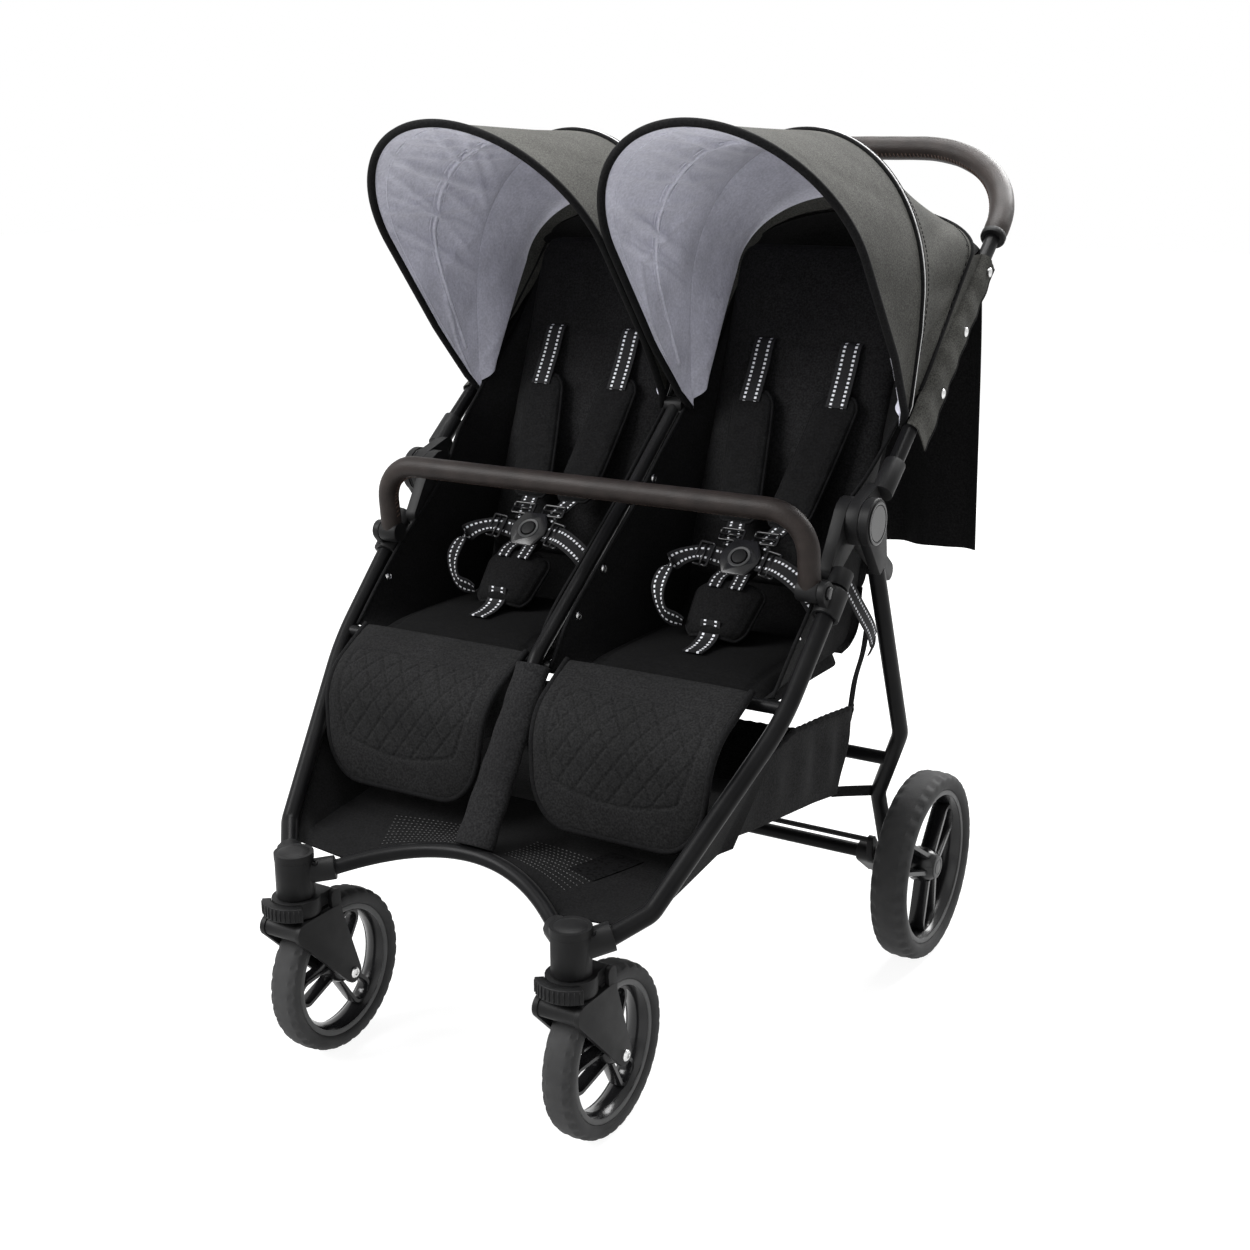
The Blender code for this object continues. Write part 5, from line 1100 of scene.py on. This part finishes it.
for name, side in SIDES:
    tilts = f"{name}_canopy"
    middle = at(side * CANOPY_X, *CANOPY_PIVOT)
    # The outer cloth: the front part tilts and the rear part stays with the handle.
    mid_front = (MID_BOW[0] + 0.0011, *MID_BOW[1:])
    mid_rear = (MID_BOW[0] - 0.0011, *MID_BOW[1:])
    front = canopy_grid(RIM_BOW, mid_front, 44, side, 0.0, 0.001)
    front = creases(front, 0.0016, FRONT_PULLS, side)
    piece = canopy_sheet(f"canopy_front_cloth_{name}", front, CANOPY_THICK, CANOPY_CLOTH, tilts)
    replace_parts(piece, f"canopy_front_{name}")
    rear = canopy_grid(mid_rear, REAR_BOW, 44, side, 0.0, 0.004)
    rear = creases(rear, 0.0045, REAR_PULLS, side)
    piece = canopy_sheet(f"canopy_rear_cloth_{name}", rear, CANOPY_THICK, CANOPY_CLOTH, "handle")
    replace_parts(piece, f"canopy_rear_{name}")
    # The lining, drawn in between rim and bow and pulled in many small creases.
    share = np.linspace(0, 1, 54)[:, None, None]
    rim_line = bow(RIM_BOW[0] - 0.008, *RIM_BOW[1:], side, 0.0030, 191)
    lining = rim_line * (1 - share) + bow(*MID_BOW, side, 0.0080, 191) * share
    crown = np.sin(np.clip((np.arange(191) - 20) / 150, 0, 1) * np.pi)[None, :, None]
    drawn = unit(lining - middle)
    lining = lining - drawn * 0.008 * crown * np.sin(np.pi * share) ** 0.6
    lining = creases(lining, 0.0042, LINING_PULLS, side)
    small = [(rng.uniform(0.08, 0.92), rng.uniform(-0.35, 0.35), rng.uniform(0.005, 0.010))
             for k in range(26)]
    lining = creases(lining, 0.0028, small, side)
    canopy_sheet(f"canopy_lining_{name}", lining, LINING_THICK, LINING, tilts)
    # A panel under the rear cloth, that slides out as the canopy tilts forward, and the lining behind it.
    extension = canopy_grid(MID_BOW, REAR_BOW, 16, side, 0.0042, 0.004, (0.0, 0.31))
    canopy_sheet(f"canopy_extension_{name}", extension, LINING_THICK, CANOPY_CLOTH, tilts)
    back_lining = canopy_grid(MID_BOW, REAR_BOW, 30, side, 0.0085, 0.012, (0.0, 0.62))
    back_lining = creases(back_lining, 0.003, LINING_PULLS[::2], side)
    canopy_sheet(f"canopy_back_lining_{name}", back_lining, LINING_THICK, LINING, "handle")
    # Bindings and piping along the bows, then seams in the lining and stitches along two hems.
    for label, shape, radius, material, tilt, body in (
            ("rim_binding", RIM_BOW, 0.0050, BINDING, 0.004, tilts),
            ("bow_binding", MID_BOW, 0.0036, BINDING, 0.021, tilts),
            ("bow_piping", MID_BOW, 0.0018, HIGHLIGHT_PIPING, 0.006, tilts),
            ("rear_bow_binding", MID_BOW, 0.0036, BINDING, -0.011, "handle"),
            ("rear_binding", REAR_BOW, 0.0032, BINDING, 0.0, "handle")):
        proud = -0.0026 if label == "bow_piping" else -0.0006
        path = bow(shape[0] + tilt, shape[1] + 0.001, *shape[2:], side, proud, 141)
        folds_away(make(f"canopy_{label}_{name}", *tube(path, radius, 10), material, body, "canopy_cloth"))
    seams = []
    inward = unit(middle + np.array([0, -0.05, 0.10]) - lining)
    for row, radius in ((4, 0.0008), (24, 0.0009), (26, 0.0030), (28, 0.0009)):
        line = lining[row] + 0.0006 * inward[row]
        for _ in range(24):
            line[1:-1] = 0.25 * line[:-2] + 0.5 * line[1:-1] + 0.25 * line[2:]
        seams.append(tube(line[6:-6], radius, 8))
    folds_away(make(f"canopy_lining_seams_{name}", *merged(seams), LINING, tilts, "canopy_cloth"))
    hems = []
    for share in (0.92, 0.10):
        path = bow(*mid_rear, side, -0.0014, 141) * (1 - share) + bow(*REAR_BOW, side, -0.0014, 141) * share
        for k in range(8, 134):
            stitch_end = path[k] + 0.6 * (path[k + 1] - path[k])
            hems.append(tube(np.array([path[k], stitch_end]), 0.0006, 5))
    folds_away(make(f"canopy_stitches_{name}", *merged(hems), BINDING, "handle", "canopy_cloth"))
    # The sleeve: from the rear cloth's edge over the handle tube, hanging a little below it, with snaps.
    reach = np.linspace(0.150, 0.455, 70)
    edge_up = np.clip((reach - 0.156) / 0.992, 0.004, 0.27)
    edge = np.stack([np.full(70, side * 0.3262),
                     CANOPY_PIVOT[0] - edge_up * math.sin(REAR_BOW[0]) + CASTER_Y,
                     CANOPY_PIVOT[1] + edge_up * math.cos(REAR_BOW[0])], 1)
    pleat = 0.0009 * np.sin(reach * 140)
    columns = [edge]
    for turn in np.radians([88, 62, 36, 10, -16]):
        columns.append(np.array([handle_at(side * (handle_x(p) + r * math.cos(turn)), p, r * math.sin(turn))
                                 for p, r in zip(reach, 0.0118 + pleat)]))
    hang = np.interp(reach, [0.150, 0.175, 0.232, 0.333, 0.440, 0.455],
                     [0.034, 0.036, 0.029, 0.021, 0.016, 0.013])
    for share in (0.45, 0.65, 0.85, 1.0):
        columns.append(np.array([handle_at(side * (handle_x(p) + 0.0122 + r), p, -share * h)
                                 for p, r, h in zip(reach, pleat, hang)]))
    sleeve = np.stack(columns, 1)
    cloth_piece(f"canopy_tube_sleeve_{name}", sleeve, 0.0016, CANOPY_CLOTH, "handle", "canopy_cloth")
    make(f"canopy_sleeve_binding_{name}", *tube(sleeve[:, -1], 0.0018, 8), BINDING, "handle", "canopy_cloth")
    studs = []
    for place, drop in ((0.440, 0.005), (0.333, 0.009), (0.232, 0.018)):
        snap(studs, handle_at(side * (handle_x(place) + 0.0134), place, -drop), (side, 0, 0), 0.0060)
    make(f"canopy_snaps_{name}", *merged(studs), STEEL, "handle", "gloss_plastic", sharp=35)

# Rear flap: black cloth that hangs behind the seats in soft folds from the canopies' rear edges.
# It drops below the handle and swings with it.
FLAP_Y = 0.866
FLAP_FOOT = 0.525
u = np.linspace(-1, 1, 141)[:, None]
v = np.linspace(0, 1, 41)[None, :]
half_width = 0.3255 - 0.0105 * np.sqrt(np.clip(v / 0.03, 0, 1))
x = u * half_width
across = np.clip((np.abs(u) * half_width - CANOPY_X) / CANOPY_FOOT, -1, 1)
top_up = 0.270 + 0.075 * np.sqrt(1 - across ** 2) - 0.003
top_y = CANOPY_PIVOT[0] + top_up * math.sin(-REAR_BOW[0])
top_z = CANOPY_PIVOT[1] + top_up * math.cos(-REAR_BOW[0]) - 0.002
fold = 0.0055 * np.sin(u * np.pi * 7 + 0.8 * np.sin(3 * v)) * v + 0.002 * np.sin(u * 41) * v
flap_y = top_y + (FLAP_Y - top_y) * v ** 0.2 + fold + CASTER_Y
flap = np.stack([x, flap_y, top_z + (FLAP_FOOT - top_z) * v], -1)
tuck = flap[:, :1] + np.array([0, -0.016, 0.004])
flap = np.concatenate([tuck, 0.5 * (tuck + flap[:, :1]) + np.array([0, 0, 0.001]), flap], 1)
piece = cloth_piece("rear_flap_cloth", flap, 0.0018, SEAT_CLOTH, "handle", "seat_cloth")
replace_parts(piece, "rear_flap")
folds_away(piece)

# Foot tray: black cloth stretched from the front arch back to the basket and up to the front tubes,
# with a net panel and rows of pale stitches. It is sewn round the arch and the tubes.
TRAY_HALF = 0.146
TRAY_BACK = 0.255
TRAY_BACK_Z = 0.287
TRAY_SAG = 0.010
STITCH_LIFT = np.array([0, 0, 0.0014])
GREY_THREAD = cloth("grey thread", (0.07, 0.07, 0.07), (0.13, 0.13, 0.13))


def mesh_cloth(name):
    """Open mesh: small dark holes in a black net."""
    material, tree, shader = node_tree(name, 0.8)
    place = tree.nodes.new("ShaderNodeTexCoord")
    cells = tree.nodes.new("ShaderNodeTexVoronoi")
    cells.inputs["Scale"].default_value = 220
    tree.links.new(place.outputs["UV"], cells.inputs["Vector"])
    holes = ramp(tree, cells.outputs["Distance"], (0.001, 0.001, 0.001), (0.0045, 0.0045, 0.0048), 0.25, 0.5)
    tree.links.new(holes, shader.inputs["Base Color"])
    shader.inputs["Specular IOR Level"].default_value = 0.03
    bump(tree, shader, [(cells.outputs["Distance"], 0.3, 0.0006)])
    return material


NET = mesh_cloth("black net")
u = np.linspace(-1, 1, 81)[:, None]
v = np.linspace(0, 1, 41)[None, :]
share = (u * TRAY_HALF / ARCH_HALF) ** 2
slope = 2 * -ARCH_FORWARD * u * TRAY_HALF / ARCH_HALF ** 2
gap = CROSS_RADIUS * np.sqrt(1 + slope ** 2)
front_y = ARCH_Y - ARCH_FORWARD * share + gap
front_z = ARCH_Z - ARCH_DROP * share
x = u * (TRAY_HALF * (1 - v) + TRAY_BACK * v)
y = front_y * (1 - v) + TRAY_BACK * v
z = front_z * (1 - v) + TRAY_BACK_Z * v - TRAY_SAG * np.sin(np.pi * v) * (1 - u ** 2)
floor_grid = np.stack([x, y + CASTER_Y, z], -1)
tube_line = even(np.array([at(0.242, 0.047, 0.273), at(*TOE), at(0.316, 0.2445, 0.4505)]), 41)
tray_top = tube_line + np.array([0, 0.681, -0.732]) * 0.0128
tray_edge = floor_grid[-1].copy()
tray_edge[:, 0] = np.maximum(tray_edge[:, 0], 0.245)
lead = np.clip(1 - v[0] / 0.25, 0, 1)[:, None]
tray_edge = tray_edge * (1 - lead) + lead * 0.5 * (floor_grid[-1] + tray_top)
wall = [tray_top * (1 - k) + tray_edge * k for k in np.linspace(0, 1, 9)]
wall += [tray_edge * (1 - k) + floor_grid[-1] * k for k in np.linspace(0.2, 0.8, 4)]
wall = np.array(wall)
tray = np.concatenate([wall * MIRROR, floor_grid, wall[::-1]])
piece = cloth_piece("foot_tray_cloth", tray, 0.0024, SEAT_CLOTH, "chassis", "seat_cloth")
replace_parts(piece, "foot_tray")
stitches = []
for row in np.arange(5, 21, 1.6):
    for k in np.arange(7, 73, 1.25):
        if abs(k - 40) < 6:
            continue
        low, high = int(row), int(k)
        start = floor_grid[high, low] * (1 - row % 1) + floor_grid[high, low + 1] * (row % 1) + STITCH_LIFT
        step = floor_grid[high + 1, low] - floor_grid[high, low]
        start = start + step * (k % 1)
        stitches.append(tube(np.array([start, start + 0.45 * step]), 0.00045, 5))
make("foot_tray_stitches", *merged(stitches), GREY_THREAD, "chassis", "seat_cloth")
part = floor_grid[64:74, 12:26] + np.array([0, 0, 0.0020])
cloth_piece("foot_tray_net", part, 0.0008, NET, "chassis", "seat_cloth")

# Basket: a sagging charcoal hammock with an elastic top edge behind the tray.
# Straps hang its rear corners from the seat and hold it down to the rear legs.
WEBBING_THICK = 0.0016
BASKET_HALF = 0.262
BASKET_SAG = 0.014
FLAT_SHARE = 0.625
BASKET_STRAPS = (
    ("hanger", ((0.2615, 0.572, 0.372), (0.268, 0.568, 0.41), (0.280, 0.562, 0.45), (0.287, 0.556, 0.487)),
     0.010),
    ("tie", ((0.243, 0.558, 0.252), (0.258, 0.580, 0.249)), 0.014))
BASKET_CLOTH = cloth("charcoal basket cloth", (0.0085, 0.0085, 0.0088), (0.023, 0.023, 0.0235),
                     folds=12, fold_depth=0.006)


def strap(path, width_way, width):
    """A flat webbing strip. UV u is 0 to 1 across it and v is metres along it."""
    tangent = unit(np.gradient(path, axis=0))
    across = unit(width_way - tangent * np.sum(width_way * tangent, 1, keepdims=True))
    up = np.cross(across, tangent)
    corners = []
    for s, h in ((-1, 1), (1, 1), (1, -1), (-1, -1)):
        corners.append(path + across * s * width / 2 + up * h * WEBBING_THICK / 2)
    verts = np.stack(corners, 1).reshape(-1, 3)
    faces = grid_faces(len(path), 4, wrap=True)
    faces += [[0, 1, 2, 3][::-1], list(range(4 * len(path) - 4, 4 * len(path)))]
    v = np.concatenate([[0], np.cumsum(np.linalg.norm(np.diff(path, axis=0), axis=1))])
    uv = np.stack([np.tile([0.0, 1.0, 1.0, 0.0], len(path)), np.repeat(v, 4)], 1)
    return verts, faces, uv


# Stations from front to back: distance back, low point, top edge and share of the full width.
rear_y = 0.5950 - 0.0113
stations = np.array([(0.2567, 0.288, 0.292, 0.90), (0.2854, 0.2841, 0.3308, 0.94),
                     (0.32835, 0.2802, 0.3696, 0.97), (0.400, 0.275, 0.389, 1.0),
                     (0.492, 0.262, 0.3795, 1.0), (rear_y - 0.02, 0.249, 0.370, 1.0),
                     (rear_y - 0.001, 0.2965, 0.370, 0.99), (rear_y, 0.3216, 0.370, 0.98)])
marks = np.concatenate([[0], np.cumsum(np.linalg.norm(np.diff(stations[:, :2], axis=0), axis=1))])
fine = np.linspace(0, marks[-1], 61)
stations = np.stack([np.interp(fine, marks, stations[:, k]) for k in range(4)], 1)
s = np.linspace(-1, 1, 97)
flat = np.clip(np.abs(s) / FLAT_SHARE, 0, 1)
climb = np.clip((np.abs(s) - FLAT_SHARE) / (1 - FLAT_SHARE), 0, 1)
rows = []
for k, (y, low, high, wide) in enumerate(stations):
    ripple = 0.0025 * np.sin(0.55 * k + 6 * s) * climb * (1 - climb) * 4
    sag = BASKET_SAG * (1 - flat ** 2) * min(1, (high - low) / 0.114)
    x = np.sign(s) * ((0.95 * flat + 0.05 * np.sin(0.5 * np.pi * climb)) * BASKET_HALF * wide + ripple)
    rows.append(np.stack([x, np.full(97, y + CASTER_Y), low - sag + (high - low) * climb], -1))
basket = np.array(rows)


def basket_folds(piece):
    """Bakes the cloth's place into its mesh."""
    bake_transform(piece)


piece = cloth_piece("basket_cloth", basket, 0.0024, BASKET_CLOTH, None, "pad_cloth")
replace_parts(piece, "basket")
basket_folds(piece)
edge = np.concatenate([basket[2:, 0], basket[-1, 1:], basket[-2:2:-1, -1]])
edge = even(edge, 260)
gather = 0.0034 + 0.0006 * np.sin(np.arange(260) * 1.9)
basket_folds(make("basket_elastic", *tube(edge, gather, 10), BINDING, None, "pad_cloth"))
for name, side in SIDES:
    for label, points, width in BASKET_STRAPS:
        line = on_side(side, points)
        if label == "tie":
            line.append(leg_at(side * 0.279, 0.2415))
        path = smooth_path(line, 24)
        verts, faces, uv = strap(path, np.tile([0.3, 1.0, 0.3], (24, 1)), width)
        basket_folds(make(f"basket_{label}_{name}", verts, faces, BINDING, None, "pad_cloth", uv, sharp=40))

# Harness: a padded crotch piece and buckle on each seat, with shoulder pads, waist straps and webbing.
# The buckle's round button sits in its face.
STRAP_BASE = (0.3755, 0.504)
STRAP_RISE = math.radians(42.6)
WIDE_X = np.array([1.0, 0, 0])
WAIST_LOOP = ((-0.026, 0.108, 0.004), (-0.055, 0.104, 0.014), (-0.077, 0.080, 0.024), (-0.083, 0.045, 0.022),
              (-0.070, 0.016, 0.008), (-0.045, 0.012, -0.004))
WAIST_STRAP = ((0.026, 0.108, 0.004), (0.060, 0.098, 0.013), (0.095, 0.080, 0.010), (0.117, 0.062, -0.004))


def webbing(name):
    """Black webbing with two rows of reflective dashes woven along it."""
    material, tree, shader = node_tree(name, 0.75)
    place = tree.nodes.new("ShaderNodeTexCoord")
    split = tree.nodes.new("ShaderNodeSeparateXYZ")
    tree.links.new(place.outputs["UV"], split.inputs["Vector"])

    def step(kind, first, second=None):
        # One step of arithmetic on a socket, with a number or a second socket.
        node = tree.nodes.new("ShaderNodeMath")
        node.operation = kind
        tree.links.new(first, node.inputs[0])
        if second is None:
            return node.outputs[0]
        if isinstance(second, float):
            node.inputs[1].default_value = second
        else:
            tree.links.new(second, node.inputs[1])
        return node.outputs[0]

    from_middle = step("ABSOLUTE", step("SUBTRACT", split.outputs["X"], 0.5))
    row = step("LESS_THAN", step("ABSOLUTE", step("SUBTRACT", from_middle, 0.27)), 0.058)
    dash = step("LESS_THAN", step("FRACT", step("DIVIDE", split.outputs["Y"], 0.0060)), 0.52)
    fleck = ramp(tree, noise(tree, 500, 3), (0.003, 0.003, 0.0035), (0.008, 0.008, 0.009))
    node = tree.nodes.new("ShaderNodeMix")
    node.data_type = "RGBA"
    node.inputs[7].default_value = (0.62, 0.63, 0.66, 1)
    tree.links.new(step("MULTIPLY", row, dash), node.inputs["Factor"])
    tree.links.new(fleck, node.inputs[6])
    tree.links.new(node.outputs[2], shader.inputs["Base Color"])
    shader.inputs["Specular IOR Level"].default_value = 0.2
    bump(tree, shader, [(threads(tree, math.pi / 2, 0.0022), 0.3, 0.0004),
                        (noise(tree, 700, 2), 0.3, 0.0003)])
    return material


WEBBING = webbing("harness webbing")


def strap_at(x, reach, lift):
    """A place by its reach up the crotch strap and its lift off the strap's line."""
    c, s = math.cos(STRAP_RISE), math.sin(STRAP_RISE)
    return at(x, STRAP_BASE[0] + reach * c - lift * s, STRAP_BASE[1] + reach * s + lift * c)


def belt(name, line, ways, width, body, count=40):
    """A webbing strap through the points, with its width across the given directions."""
    path = smooth_path(line, count)
    ways = smooth_path(ways, count) if len(ways) > 1 else np.tile(ways[0], (count, 1))
    verts, faces, uv = strap(path, ways, width)
    return make(name, verts, faces, WEBBING, body, "seat_cloth", uv, sharp=40)


def rim_tape(name, base, count, radius, body):
    """A round tape along the four edges of a grid, read at even steps."""
    rim = np.concatenate([base[:, 0], base[-1, 1:], base[-2::-1, -1], base[0, -2:0:-1]])
    path = even(np.vstack([rim, rim[:1]]), count)
    make(name, *tube(path, radius, 8), BINDING, body, "seat_cloth")


def ladder_lock(parts, centre, across, along, width, height):
    """A flat plastic slide: a rounded frame with a middle bar."""
    across, along = unit(across) * width / 2, unit(along) * height / 2
    frame_round = ((-1, 0), (-1, 1), (1, 1), (1, -1), (-1, -1), (-1, 0.001))
    outline = [centre + across * a + along * b for a, b in frame_round]
    parts.append(tube(rounded(outline, (0.002,) * 4, 4), 0.0019, 8))
    parts.append(tube(np.array([centre - across, centre + across]), 0.0016, 8))


for name, side in SIDES:
    x0 = SEAT_X * side
    body = f"{name}_harness"
    up = np.array([0, -math.sin(STRAP_RISE), math.cos(STRAP_RISE)])
    u = np.linspace(-1, 1, 41)[:, None]
    v = np.linspace(-1, 1, 41)[None, :]
    nip = 1 - 0.22 * np.clip((np.abs(v) - 0.6) / 0.4, 0, 1) ** 2
    wide = (0.0440 + 0.0045 * v) * nip + 0 * u
    reach = 0.0368 + 0.0400 * v * (1 - 0.06 * np.abs(u) ** 3)
    base = np.stack([x0 + wide * u, STRAP_BASE[0] + reach * math.cos(STRAP_RISE) + CASTER_Y + 0 * u,
                     STRAP_BASE[1] + reach * math.sin(STRAP_RISE) + 0 * u], -1)
    base = base - up * (0.010 * np.abs(u) ** 2)[..., None]
    top, bottom = pillow(base, up, 0.017 - 0.002 * sewn(np.abs(u) + 0 * v, (0.84,), 0.05), 2.4, 0.4)
    piece = pad_piece(f"crotch_cushion_{name}", top, bottom, SEAT_CLOTH, body, "seat_cloth")
    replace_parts(piece, f"crotch_pad_{name}")
    rim_tape(f"crotch_binding_{name}", base, 120, 0.0022, body)
    refined(f"buckle_{name}", GLOSS_BLACK, 0.0028, 4)
    refined(f"buckle_button_{name}", BLACK_PLASTIC, 0.0012, 3)
    ring = [(0.0150, 0.0), (0.0150, 0.001), (0.0142, 0.0015), (0.0116, 0.0012), (0.0110, 0.0),
            (0.0150, 0.0)]
    turned = lathe(ring, strap_at(x0, 0.1093, 0.0086), up, 40)
    make(f"buckle_ring_{name}", *turned, GREY_RIM, body, "gloss_plastic", sharp=35)
    low_line = [at(x0, 0.330, 0.4925), at(x0, 0.352, 0.4945), strap_at(x0, -0.004, 0.002),
                strap_at(x0, 0.012, 0.0115)]
    belt(f"crotch_strap_low_{name}", low_line, [WIDE_X], 0.027, body)
    for label, shift in (("a", -0.015), ("b", 0.015)):
        belt(f"crotch_strap_top_{name}_{label}",
             [strap_at(x0 + shift, 0.060, 0.0125), strap_at(x0 + shift, 0.074, 0.0100),
              strap_at(x0 + 0.8 * shift, 0.088, 0.0045)], [WIDE_X], 0.019, body, 16)
    along_strap = strap_at(0, 1, 0) - strap_at(0, 0, 0)
    tilt = unit(along_strap + 0.3 * up)
    loop_ways = [tilt, tilt, unit(along_strap - 0.8 * WIDE_X), unit(WIDE_X + 0.3 * up),
                 unit(0.3 * along_strap + up), up]
    belt(f"waist_loop_{name}", [strap_at(x0 + x, reach, lift) for x, reach, lift in WAIST_LOOP],
         loop_ways, 0.024, body, 70)
    belt(f"waist_strap_{name}", [strap_at(x0 + x, reach, lift) for x, reach, lift in WAIST_STRAP],
         [unit(along_strap + 0.25 * WIDE_X)], 0.026, body, 50)
    locks = []
    ladder_lock(locks, strap_at(x0 - 0.047, 0.105, 0.0125), along_strap, WIDE_X - 0.2 * up, 0.034, 0.018)
    ladder_lock(locks, strap_at(x0 + 0.046, 0.102, 0.0105), along_strap, WIDE_X - 0.2 * along_strap,
                0.036, 0.020)
    for label, shift in (("a", -1), ("b", 1)):
        back = f"{name}_back"
        slot_x = x0 + 0.004 * side + shift * 0.061
        foot_x = x0 + shift * 0.034
        belt(f"shoulder_strap_{name}_{label}",
             [back_at(slot_x, 0.279, 0.030), back_at(slot_x, 0.272, 0.040), back_at(slot_x, 0.235, 0.045),
              back_at(slot_x, 0.190, 0.054)], [WIDE_X], 0.029, back, 36)
        v = np.linspace(-1, 1, 61)[None, :]
        u = np.linspace(-1, 1, 27)[:, None]
        run = 0.5 - 0.5 * v
        centre_x = slot_x + (foot_x - slot_x) * run
        nip = 1 - 0.35 * np.clip((np.abs(v) - 0.78) / 0.22, 0, 1) ** 2
        x = centre_x + 0.029 * nip * u
        reach = 0.205 - 0.175 * run + 0 * u
        lift = 0.0455 + 0.030 * run ** 1.3 + 0 * u
        c, sn = math.cos(BACK_LEAN), math.sin(BACK_LEAN)
        base = np.stack([x, BACK_PIVOT[0] + reach * c - lift * sn + CASTER_Y,
                         BACK_PIVOT[1] + reach * sn + lift * c], -1)
        out = np.array([0, -sn, c])
        bulges = 0.0012 * np.sin(13 * v + 2 * u) + 0.0006 * np.sin(29 * v - 3 * u)
        thick = 0.0135 + bulges - 0.0016 * sewn(np.abs(u) + 0 * v, (0.80,), 0.07)
        top, bottom = pillow(base, out, thick, 2.6, 0.35)
        pad_piece(f"shoulder_pad_{name}_{label}", top, bottom, SEAT_CLOTH, back, "seat_cloth")
        rim_tape(f"shoulder_binding_{name}_{label}", base, 140, 0.0023, back)
        pad_foot = back_at(foot_x, 0.034, 0.072)
        half_way = 0.5 * (pad_foot + strap_at(x0 + shift * 0.022, 0.131, 0.004))
        belt(f"shoulder_tail_{name}_{label}",
             [pad_foot, half_way, strap_at(x0 + shift * 0.020, 0.129, 0.003)], [WIDE_X], 0.024, body, 14)
        ladder_lock(locks, strap_at(x0 + shift * 0.024, 0.142, 0.006), WIDE_X, along_strap, 0.032, 0.017)
    make(f"ladder_locks_{name}", *merged(locks), GLOSS_BLACK, body, "gloss_plastic")

# Recline straps: dotted webbing sewn to the seat's sides, that runs down behind the frame.
# A thin tail of binding tape hangs from the end of each.
RECLINE_STRAP = ((0.2905, 0.470, 0.570), (0.297, 0.500, 0.530), (0.300, 0.535, 0.492), (0.298, 0.552, 0.472))
RECLINE_TAIL = ((0.298, 0.553, 0.474), (0.296, 0.556, 0.462), (0.291, 0.556, 0.450))
for name, side in SIDES:
    belt(f"recline_strap_{name}", on_side(side, RECLINE_STRAP), [np.array([0, 0.7, 0.7])], 0.024,
         "chassis", 30)
    tail = smooth_path(on_side(side, RECLINE_TAIL), 14)
    verts, faces, uv = strap(tail, np.tile([0, 0.9, 0.3], (14, 1)), 0.012)
    make(f"recline_tail_{name}", verts, faces, BINDING, "chassis", "seat_cloth", uv, sharp=40)
